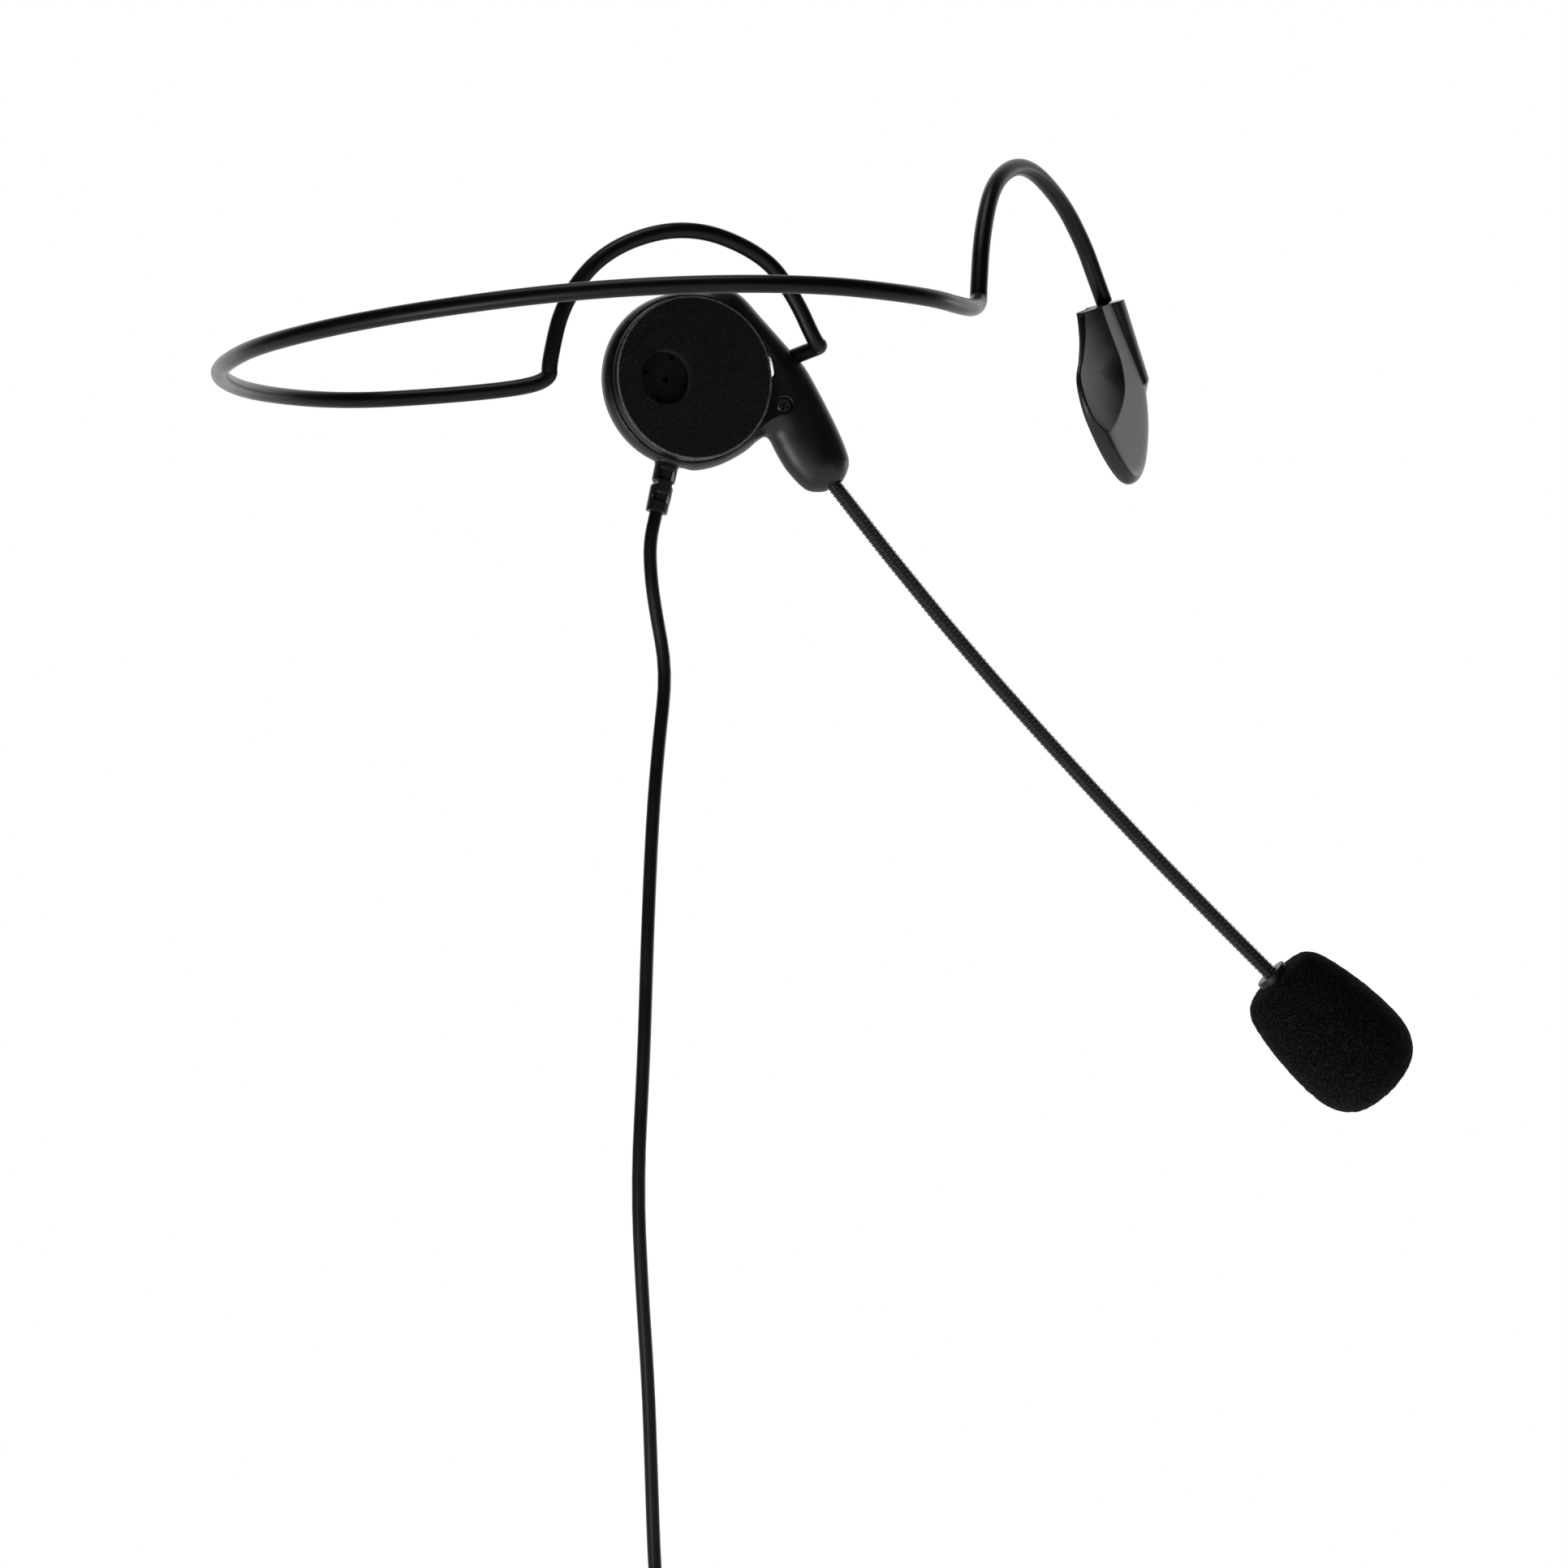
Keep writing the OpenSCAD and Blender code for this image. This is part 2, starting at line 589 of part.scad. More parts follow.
function below_relief(len) = in_ear(relief_at + len * [-sin(relief_tilt), 0, -cos(relief_tilt)]);
coil_centre = [36.5, 70, -316];
coil_layers = 3;       // turns that lie on each other
coil_rows = 3;         // turns that lie beside each other
coil_side = 8;         // how far beside the coil's middle its end leaves
tie_angle = 26;        // stretch of the coil that the tie covers, degrees
cable_guide = concat([below_relief(relief_len - 1.5), below_relief(relief_len), below_relief(19)],
    [[28, 70, -44], [29.5, 70, -52], [33, 70, -66], [30.5, 70, -83], [28.5, 70, -102], [27, 70, -130],
     [26, 70, -158], [24, 70, -187], [25.5, 70, -212], [27.5, 70, -234], [28.5, 70, -255], [29.5, 70, -277],
     [29.5, 70, -287], [30, 70, -294], [36, 70, -295.5]]);
cable_path = smooth(cable_guide, 4);

module cable() color([0.06, 0.06, 0.07]) rod_along(cable_path, cable_d / 2, 8);

// outline of the coil's bundle of turns, grown by a margin
module coil_section(grow) {
    translate([coil_mid_d / 2, 0]) offset(r = grow) offset(r = cable_d / 2)
        square([(coil_layers - 1) * cable_d, coil_rows * cable_d], center = true);
}

module cable_coil() color([0.06, 0.06, 0.07]) translate(coil_centre) rotate([90, 0, 0])
    rotate_extrude($fn = 96) coil_section(0);

module coil_tie() color([0.10, 0.10, 0.10]) translate(coil_centre) rotate([90, 0, 0]) rotate([0, 0, 90 - tie_angle / 2])
    rotate_extrude(angle = tie_angle, $fn = 96) difference() {
        coil_section(0.8);
        coil_section(0.02);
    }

plug_at = coil_centre + [coil_mid_d / 2 - cable_d, coil_side, -34];
plug_guide = [plug_at + [0, -2.5, 40], plug_at + [0, -1.2, 34], plug_at + [0, 0, 27], plug_at + [0, 0, 12], plug_at + [0, 0, 3]];

module plug_lead() color([0.06, 0.06, 0.07]) rod_along(smooth(plug_guide, 4), cable_d / 2, 8);

module plug_relief() color([0.06, 0.06, 0.07]) translate(plug_at) difference() {
    translate([0, 0, -9]) union() {
        cylinder(h = 9, r1 = 3.4, r2 = 2.2);
        for (z = [1.5, 4, 6.5]) translate([0, 0, z]) cylinder(h = 1.2, r = 3.3 - 0.12 * z);
    }
    translate([0, 0, -3.5]) cylinder(h = 6, r = cable_d / 2 + 0.01);
}

module plug_body() color([0.08, 0.08, 0.09]) translate(plug_at + [0, 0, -31]) union() {
    translate([0, 0, 1]) cylinder(h = 21, r = 4.6);
    cylinder(h = 1 + e, r1 = 4, r2 = 4.6);
}

// four-pole plug pin of 3.5 mm, 14 mm long
module plug_contacts() color([0.85, 0.75, 0.45]) translate(plug_at + [0, 0, -45]) {
    translate([0, 0, 10]) cylinder(h = 4, r = 1.75);
    translate([0, 0, 6.9]) cylinder(h = 2.3, r = 1.75);
    translate([0, 0, 3.9]) cylinder(h = 2.2, r = 1.75);
    translate([0, 0, 2.2]) cylinder(h = 0.9, r1 = 1.35, r2 = 1.75);
    translate([0, 0, 1.2]) cylinder(h = 1 + e, r1 = 1.75, r2 = 1.35);
    cylinder(h = 1.2 + e, r1 = 0.6, r2 = 1.75);
}

module plug_insulators() color([0.10, 0.10, 0.10]) translate(plug_at + [0, 0, -45])
    for (z = [[3.1, 3.9], [6.1, 6.9], [9.2, 10]]) translate([0, 0, z[0]])
        cylinder(h = z[1] - z[0], r = 1.73);

// ---- temple pad

// outline of the pad, as forward and up in the plane of the right hook
pad_outline = [[51.5, 7.5], [51.5, 2], [50, -3], [47.2, -8], [49.2, -15.5], [54.5, -22.5], [60.3, -27.3],
               [66, -29.8], [71.5, -28.8], [77, -24.5], [80.4, -16.5], [80.8, -10], [80, -3], [75, 6], [71.5, 12.5]];
pad_middle = [66, -9];
pad_y = -1.2;          // outer face of the carrier
cushion_rim = 0.6;     // thickness of the cushion at its rim
pad_top_tilt = 15;     // rise of the flat top toward the front, degrees
socket_len = 27;
socket_taper = 22;     // length of the socket's slow taper, before its tip

module at_pad_plane() {
    at_right_hook() rotate([-hook_lean, 0, 0]) children();
}

module pad_plate(scale_by, y0, y1) {
    translate([0, y1, 0]) rotate([90, 0, 0]) linear_extrude(y1 - y0)
        polygon([for (p = pad_outline) pad_middle + scale_by * (p - pad_middle)]);
}

module pad_socket(start) {
    translate([0, 0, start]) cylinder(h = socket_taper - start, r1 = pad_socket_d / 2, r2 = pad_socket_d / 4 + 0.3);
    translate([0, 0, socket_taper - e])
        cylinder(h = socket_len - socket_taper + e, r1 = pad_socket_d / 4 + 0.3, r2 = 1);
}

// everything above the pad's flat top
module above_pad() {
    at_pad_plane() translate([pad_mouth[0], -15, pad_mouth[1] - 1]) rotate([0, -pad_top_tilt, 0])
        translate([-30, 0, 0]) cube([60, 30, 20]);
}

module pad_carrier() color([0.09, 0.09, 0.10]) difference() {
    union() {
        at_pad_plane() pad_plate(1, pad_y, pad_y + pad_carrier_t);
        at_pad_pin() pad_socket(0);
    }
    above_pad();
    at_pad_pin() {
        translate([0, 0, -3]) cylinder(h = 4.2, r = sleeve_d / 2 + slack);
        cylinder(h = pad_pin - 1.1, r = wire_d / 2 + run);
        translate([0, 0, pad_pin - 1.15]) cylinder(h = 3, r = clip_r + slack);
    }
}

module pad_cushion() color([0.14, 0.14, 0.15]) difference() {
    at_pad_plane() hull() {
        pad_plate(1, pad_y + pad_carrier_t, pad_y + pad_carrier_t + cushion_rim);
        pad_plate(0.6, pad_y + pad_carrier_t, pad_y + pad_carrier_t + cushion_rim + pad_crown);
    }
    at_pad_pin() pad_socket(0);
    above_pad();
}

neckband_wire();
neckband_sleeve();
wire_end_rings();
housing_front();
housing_rear();
housing_screw();
pivot_bush();
terminal_board();
pod_cup();
pod_plate();
pod_pins();
foam_pad();
driver_frame();
driver_magnet();
driver_cone();
strain_relief();
gooseneck_ferrule();
gooseneck_root();
gooseneck_link_1();
gooseneck_link_2();
gooseneck_link_3();
gooseneck_link_4();
gooseneck_link_5();
gooseneck_link_6();
gooseneck_link_7();
gooseneck_link_8();
mic_collar();
mic_holder();
capsule_boot();
mic_capsule();
windscreen();
cable();
cable_coil();
coil_tie();
plug_lead();
plug_relief();
plug_body();
plug_contacts();
plug_insulators();
pad_carrier();
pad_cushion();
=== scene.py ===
"""A behind-the-head headset with one earphone, a gooseneck boom microphone and a temple pad.

The shared frame is in metres: +X the wearer's forward, +Y the wearer's left, +Z up. The headset's own
lengths are in millimetres here, and put_mesh() converts them; camera, floor and lights are in metres.
"""
import json
import math

import bpy
import numpy as np
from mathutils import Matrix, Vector

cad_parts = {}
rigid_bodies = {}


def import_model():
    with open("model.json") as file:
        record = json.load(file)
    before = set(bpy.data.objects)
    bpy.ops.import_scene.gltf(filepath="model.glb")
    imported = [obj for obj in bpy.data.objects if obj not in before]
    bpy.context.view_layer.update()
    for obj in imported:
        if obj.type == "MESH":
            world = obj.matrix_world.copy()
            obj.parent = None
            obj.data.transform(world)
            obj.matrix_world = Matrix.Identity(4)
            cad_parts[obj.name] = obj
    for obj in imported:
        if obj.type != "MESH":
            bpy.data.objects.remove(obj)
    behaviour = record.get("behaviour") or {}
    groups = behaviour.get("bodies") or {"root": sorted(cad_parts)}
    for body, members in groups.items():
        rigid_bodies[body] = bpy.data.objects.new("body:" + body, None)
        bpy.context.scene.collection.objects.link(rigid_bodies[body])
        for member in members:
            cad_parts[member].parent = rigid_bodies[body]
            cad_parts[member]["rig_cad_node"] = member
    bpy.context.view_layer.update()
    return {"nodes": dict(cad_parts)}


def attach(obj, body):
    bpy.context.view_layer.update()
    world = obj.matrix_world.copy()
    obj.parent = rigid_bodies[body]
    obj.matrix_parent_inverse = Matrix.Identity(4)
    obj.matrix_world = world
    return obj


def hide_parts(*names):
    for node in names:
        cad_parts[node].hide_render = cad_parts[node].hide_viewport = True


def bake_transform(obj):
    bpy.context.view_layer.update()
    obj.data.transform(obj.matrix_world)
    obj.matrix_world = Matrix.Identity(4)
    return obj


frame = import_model()
MM = 0.001


# ---- frames: 4 x 4 matrices in millimetres

def move(x, y, z):
    m = np.eye(4)
    m[:3, 3] = (x, y, z)
    return m


def turn(axis, degrees):
    c = math.cos(math.radians(degrees))
    s = math.sin(math.radians(degrees))
    m = np.eye(4)
    a, b = {"x": (1, 2), "y": (2, 0), "z": (0, 1)}[axis]
    m[a, a] = m[b, b] = c
    m[a, b] = -s
    m[b, a] = s
    return m


def apply(matrix, points):
    return np.asarray(points, float) @ matrix[:3, :3].T + matrix[:3, 3]


HALF_SPREAD = 74
TOE_IN = 21.5
HOOK_LEAN = 7.5
LEFT_HOOK = move(0, HALF_SPREAD, 0) @ turn("z", -TOE_IN)
RIGHT_HOOK = move(0, -HALF_SPREAD, 0) @ turn("z", TOE_IN)
EAR = LEFT_HOOK @ move(36.3, 0, 3.5)
PAD = RIGHT_HOOK @ turn("x", -HOOK_LEAN)

PIVOT_MOUTH = (27.7, 6.5, 7.2)
PIVOT_IN_EAR = move(*PIVOT_MOUTH) @ turn("z", 30) @ turn("x", -90 - 12)
PAD_PIN_IN_PAD = move(67.3, 0, 13.5) @ turn("y", 180 - 33)
RELIEF_IN_EAR = move(-4.9, 6.5, -20.6) @ turn("y", 180 + 13)
NECK_EXIT = (37.5, 6.8, -23)
NECK_IN_EAR = move(*NECK_EXIT) @ turn("y", 90 + 50.5) @ turn("x", 3)
FIRST_JOINT_OUT = 2    # how far outside the housing the gooseneck's first joint is
LINK_LEN = 20
LINK_HEADING = [50.5, 49.5, 48, 47, 46.5, 46, 45, 44.5]
LINK_INWARD = [3, 4, 4, 5, 6, 6, 7, 7]


def link_dir(i):
    heading = math.radians(LINK_HEADING[i])
    inward = math.radians(LINK_INWARD[i])
    return np.array([
        math.cos(heading) * math.cos(inward), -math.sin(inward), -math.sin(heading) * math.cos(inward)])


def link_frames():
    """The frame of each gooseneck link: its start, with z along it."""
    start = np.array(NECK_EXIT) + FIRST_JOINT_OUT * link_dir(0)
    found = []
    for i in range(len(LINK_HEADING)):
        d = link_dir(i)
        yaw = math.degrees(math.asin(-d[1] / math.hypot(d[0], d[1])))
        found.append(EAR @ move(*start) @ turn("z", -yaw) @ turn("y", 90 + math.degrees(math.asin(-d[2]))))
        start = start + LINK_LEN * d
    return found


LINKS = link_frames()


# ---- curves and meshes

def spline(guide, per_bend, closed=False):
    """Quadratic B-spline that takes guide as its control points, from the first to the last."""
    p = [np.array(g, float) for g in guide]
    if closed:
        p = [p[-1]] + p + [p[0]]
    found = [] if closed else [p[0]]
    for i in range(1, len(p) - 1):
        a, b = (p[i - 1] + p[i]) / 2, (p[i] + p[i + 1]) / 2
        for k in range(0 if i == 1 and not closed else 1, per_bend + 1):
            t = k / per_bend
            found.append((1 - t) ** 2 * a + 2 * t * (1 - t) * p[i] + t * t * b)
    return np.array(found if closed else found + [p[-1]])


def through(points, per_span):
    """Closed curve that passes through every point."""
    p = np.array(points, float)
    found = []
    for i in range(len(p)):
        a, b, c, d = (p[(i + k - 1) % len(p)] for k in range(4))
        for k in range(per_span):
            t = k / per_span
            found.append(0.5 * (2 * b + (c - a) * t + (2 * a - 5 * b + 4 * c - d) * t * t
                                + (3 * b - a - 3 * c + d) * t ** 3))
    return np.array(found)


def rounded(profile, radius, steps=5):
    """A closed profile with each corner turned into a short curve."""
    p = np.array(profile, float)
    found = []
    for i in range(len(p)):
        before, corner, after = p[i - 1], p[i], p[(i + 1) % len(p)]
        a, b = before - corner, after - corner
        ra = min(radius, 0.45 * np.linalg.norm(a))
        rb = min(radius, 0.45 * np.linalg.norm(b))
        a, b = corner + a / np.linalg.norm(a) * ra, corner + b / np.linalg.norm(b) * rb
        for k in range(steps + 1):
            t = k / steps
            found.append((1 - t) ** 2 * a + 2 * t * (1 - t) * corner + t * t * b)
    return np.array(found)


def put_mesh(name, points, faces, body, matrix=np.eye(4), sharp=40):
    mesh = bpy.data.meshes.new(name)
    mesh.from_pydata((apply(matrix, points) * MM).tolist(), [], faces)
    mesh.validate()
    mesh.shade_smooth()
    mesh.set_sharp_from_angle(angle=math.radians(sharp))
    obj = bpy.data.objects.new(name, mesh)
    bpy.context.scene.collection.objects.link(obj)
    if body:
        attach(obj, body)
    return obj


def grid_faces(rows, columns, close_rows, close_columns):
    """Quads of a grid of points in rows, which may close on itself either way."""
    found = []
    for i in range(rows if close_rows else rows - 1):
        for k in range(columns if close_columns else columns - 1):
            i2, k2 = (i + 1) % rows, (k + 1) % columns
            found.append((i * columns + k, i * columns + k2, i2 * columns + k2, i2 * columns + k))
    return found


def capped_faces(rows, columns):
    """Quads of a tube of points in rows, and its two flat ends."""
    last = (rows - 1) * columns
    ends = [tuple(range(columns - 1, -1, -1)), tuple(last + k for k in range(columns))]
    return grid_faces(rows, columns, False, True) + ends


def distances(path):
    """How far along a path each of its points is."""
    return np.concatenate([[0], np.cumsum(np.linalg.norm(np.diff(path, axis=0), axis=1))])


def resampled(path, at):
    """The points of a path at the given distances along it."""
    run = distances(path)
    return np.stack([np.interp(at, run, path[:, k]) for k in range(path.shape[1])], axis=1)


def even(radius):
    """The radius of a tube that is equally thick all along."""
    return lambda i, angle: np.full(angle.shape, radius)


def tube_points(path, radius, sides):
    """Rings carried along a path without twisting; radius(i, angle) is the radius at ring i."""
    path = np.asarray(path, float)
    side = np.array([0.1, 0.2, 1])
    angles = 2 * math.pi * np.arange(sides) / sides
    found = []
    for i in range(len(path)):
        d = path[min(i + 1, len(path) - 1)] - path[max(i - 1, 0)]
        d /= np.linalg.norm(d)
        side = side - (side @ d) * d
        side /= np.linalg.norm(side)
        other = np.cross(d, side)
        r = radius(i, angles)
        found.append(path[i] + (r * np.cos(angles))[:, None] * side + (r * np.sin(angles))[:, None] * other)
    return np.concatenate(found)


def tube(name, path, radius, sides, body):
    """Closed round piece along a path, with flat ends."""
    return put_mesh(name, tube_points(path, radius, sides), capped_faces(len(path), sides), body, sharp=60)


def lathe(name, profile, body, matrix, steps=96, sharp=35):
    """A closed profile of (radius, height) turned about the frame's z; a radius of 0 makes a pole."""
    points, faces, rings = [], [], []
    for r, z in profile:
        if r < 1e-6:
            rings.append([len(points)] * steps)
            points.append((0, 0, z))
        else:
            rings.append([len(points) + k for k in range(steps)])
            points += [(r * math.cos(2 * math.pi * k / steps), r * math.sin(2 * math.pi * k / steps), z)
                       for k in range(steps)]
    for i in range(len(rings)):
        a, b = rings[i], rings[(i + 1) % len(rings)]
        for k in range(steps):
            k2 = (k + 1) % steps
            corners = list(dict.fromkeys([a[k], a[k2], b[k2], b[k]]))
            if len(corners) > 2:
                faces.append(tuple(corners))
    return put_mesh(name, points, faces, body, matrix, sharp)


# ---- solids given by a distance field, which is below zero inside

def smooth_max(a, b, k):
    h = np.clip(0.5 - 0.5 * (b - a) / k, 0, 1)
    return b * (1 - h) + a * h + k * h * (1 - h)


def smooth_min(a, b, k):
    return -smooth_max(-a, -b, k)


def polygon_field(corners, x, z):
    """Signed distance to a polygon of (x, z) corners, below zero inside."""
    corners = np.asarray(corners, float)
    nearest = np.full(np.broadcast(x, z).shape, np.inf)
    inside = np.zeros(nearest.shape, bool)
    for (x0, z0), (x1, z1) in zip(corners, np.roll(corners, -1, axis=0)):
        ex, ez = x1 - x0, z1 - z0
        t = np.clip(((x - x0) * ex + (z - z0) * ez) / (ex * ex + ez * ez), 0, 1)
        nearest = np.minimum(nearest, (x - x0 - t * ex) ** 2 + (z - z0 - t * ez) ** 2)
        if z0 != z1:
            inside ^= ((z0 > z) != (z1 > z)) & (x < x0 + (z - z0) * ex / ez)
    return np.where(inside, -1, 1) * np.sqrt(nearest)


def along_axis(matrix, x, y, z):
    """Distance along and from the z axis of a frame."""
    o, d = matrix[:3, 3], matrix[:3, 2]
    along = (x - o[0]) * d[0] + (y - o[1]) * d[1] + (z - o[2]) * d[2]
    squared = (x - o[0]) ** 2 + (y - o[1]) ** 2 + (z - o[2]) ** 2 - along ** 2
    return along, np.sqrt(np.maximum(squared, 0))


def surface_of(field, low, high, step):
    """Points and faces of the surface where field(x, y, z) is zero, between two corners."""
    axes = [np.arange(a, b + s, s) for a, b, s in zip(low, high, step)]
    x, y, z = np.meshgrid(*axes, indexing="ij", sparse=True)
    value = np.array(np.broadcast_to(field(x, y, z), [len(a) for a in axes]))
    inside = value < 0
    cells = [len(a) - 1 for a in axes]
    total = np.zeros(cells + [3])
    count = np.zeros(cells)
    crossings = []
    for axis in range(3):
        first = [slice(None)] * 3
        second = [slice(None)] * 3
        first[axis] = slice(None, -1)
        second[axis] = slice(1, None)
        a, b = value[tuple(first)], value[tuple(second)]
        crossed = inside[tuple(first)] != inside[tuple(second)]
        where = np.argwhere(crossed)
        t = a[crossed] / (a[crossed] - b[crossed])
        point = np.stack([axes[k][where[:, k]] for k in range(3)], axis=1)
        point[:, axis] += t * (axes[axis][where[:, axis] + 1] - axes[axis][where[:, axis]])
        others = [k for k in range(3) if k != axis]
        for da in (0, 1):
            for db in (0, 1):
                cell = where.copy()
                cell[:, others[0]] -= da
                cell[:, others[1]] -= db
                ok = np.all((cell >= 0) & (cell < cells), axis=1)
                index = tuple(cell[ok].T)
                np.add.at(total, index, point[ok])
                np.add.at(count, index, 1)
        crossings.append((where, inside[tuple(first)][crossed], others))
    number = np.full(cells, -1)
    used = count > 0
    number[used] = np.arange(used.sum())
    points = total[used] / count[used][:, None]
    faces = []
    for axis, (where, starts_inside, others) in enumerate(crossings):
        corners = []
        for da, db in ((1, 1), (0, 1), (0, 0), (1, 0)):
            cell = where.copy()
            cell[:, others[0]] -= da
            cell[:, others[1]] -= db
            corners.append(number[tuple(cell.T)])
        quad = np.stack(corners, axis=1)
        flip = starts_inside == (axis == 1)
        quad[flip] = quad[flip][:, ::-1]
        faces.append(quad)
    faces = np.concatenate(faces)
    nudge = 0.02
    least_slope = 0.2           # squared; it keeps the steps short where the field hardly changes
    furthest = 0.3 * min(step)
    for _ in range(2):
        px, py, pz = points.T
        here = field(px, py, pz)
        slope = np.stack([
            field(px + nudge, py, pz) - here, field(px, py + nudge, pz) - here,
            field(px, py, pz + nudge) - here], axis=1) / nudge
        size = np.maximum((slope ** 2).sum(axis=1), least_slope)
        shift = -(here / size)[:, None] * slope
        points = points + np.clip(shift, -furthest, furthest)
    return points, faces.tolist()


def lattice_noise(points, cell, seed):
    """Smooth noise between -1 and 1 on a lattice of the given cell size."""
    size = 64
    table = np.random.default_rng(seed).uniform(-1, 1, (size, size, size))
    p = np.asarray(points) / cell
    base = np.floor(p).astype(int)
    t = p - base
    t = t * t * (3 - 2 * t)
    value = 0
    for dx in (0, 1):
        for dy in (0, 1):
            for dz in (0, 1):
                weight = (np.where(dx, t[:, 0], 1 - t[:, 0]) * np.where(dy, t[:, 1], 1 - t[:, 1])
                          * np.where(dz, t[:, 2], 1 - t[:, 2]))
                value = value + weight * table[tuple(((base + (dx, dy, dz)) % size).T)]
    return value


# ---- materials

MOTTLE_SIZE = 40           # how many times wider the mottling is than the grain
MOTTLE_BAND = (0.3, 0.7)   # the noise values that it runs between
MOTTLED_ROUGH = 0.4        # how far the roughness follows it
SPECK_BAND = (0.70, 0.76)  # the same for specks, before their share is taken off


def material(name, colour, rough, metal=0.0, specular=0.5, grain=0.25, bump=0.02, mottle=0.25, specks=None,
             sheen=0.0, painted_light=None):
    """A node material. grain is the size of its fine grain and bump its height, in millimetres; mottle is how
    far the colour and roughness wander; specks is (size, share, colour); the last argument is the (attribute,
    colour) of a painted highlight, mixed into the colour as far as the attribute goes."""
    mat = bpy.data.materials.new(name)
    mat.use_nodes = True
    nodes, links = mat.node_tree.nodes, mat.node_tree.links
    shader = nodes["Principled BSDF"]
    shader.inputs["Metallic"].default_value = metal
    shader.inputs["Specular IOR Level"].default_value = specular
    shader.inputs["Sheen Weight"].default_value = sheen
    place = nodes.new("ShaderNodeTexCoord").outputs["Object"]

    def noise(size, detail=2.0):
        node = nodes.new("ShaderNodeTexNoise")
        node.inputs["Scale"].default_value = 1 / (size * MM)
        node.inputs["Detail"].default_value = detail
        links.new(place, node.inputs["Vector"])
        return node.outputs["Fac"]

    def ramp(value, low, high, out_low, out_high):
        node = nodes.new("ShaderNodeMapRange")
        node.inputs["From Min"].default_value = low
        node.inputs["From Max"].default_value = high
        node.inputs["To Min"].default_value = out_low
        node.inputs["To Max"].default_value = out_high
        links.new(value, node.inputs["Value"])
        return node.outputs["Result"]

    def mix(factor, a, b):
        node = nodes.new("ShaderNodeMix")
        node.data_type = "RGBA"
        links.new(factor, node.inputs["Factor"])
        for key, value in (("A", a), ("B", b)):
            socket = [s for s in node.inputs if s.name == key and s.type == "RGBA"][0]
            if isinstance(value, tuple):
                socket.default_value = (*value, 1)
            else:
                links.new(value, socket)
        return [s for s in node.outputs if s.type == "RGBA"][0]

    fine = noise(grain)
    broad = noise(grain * MOTTLE_SIZE, 4.0)
    dark = tuple(c * (1 - mottle) for c in colour)
    light = tuple(min(1.0, c * (1 + mottle)) for c in colour)
    tint = mix(ramp(broad, *MOTTLE_BAND, 0, 1), dark, light)
    if specks:
        size, share, speck_colour = specks
        band = [edge - share for edge in SPECK_BAND]
        tint = mix(ramp(noise(size, 1.0), *band, 0, 1), tint, speck_colour)
    # a painted highlight: the colour is lightened toward the given colour where the named attribute is high
    if painted_light:
        attribute = nodes.new("ShaderNodeAttribute")
        attribute.attribute_name = painted_light[0]
        tint = mix(attribute.outputs["Fac"], tint, painted_light[1])
    links.new(tint, shader.inputs["Base Color"])
    swing = MOTTLED_ROUGH * mottle
    links.new(ramp(broad, *MOTTLE_BAND, rough * (1 - swing), min(1, rough * (1 + swing))),
              shader.inputs["Roughness"])
    bumped = nodes.new("ShaderNodeBump")
    bumped.inputs["Distance"].default_value = bump * MM
    links.new(fine, bumped.inputs["Height"])
    links.new(bumped.outputs["Normal"], shader.inputs["Normal"])
    return mat


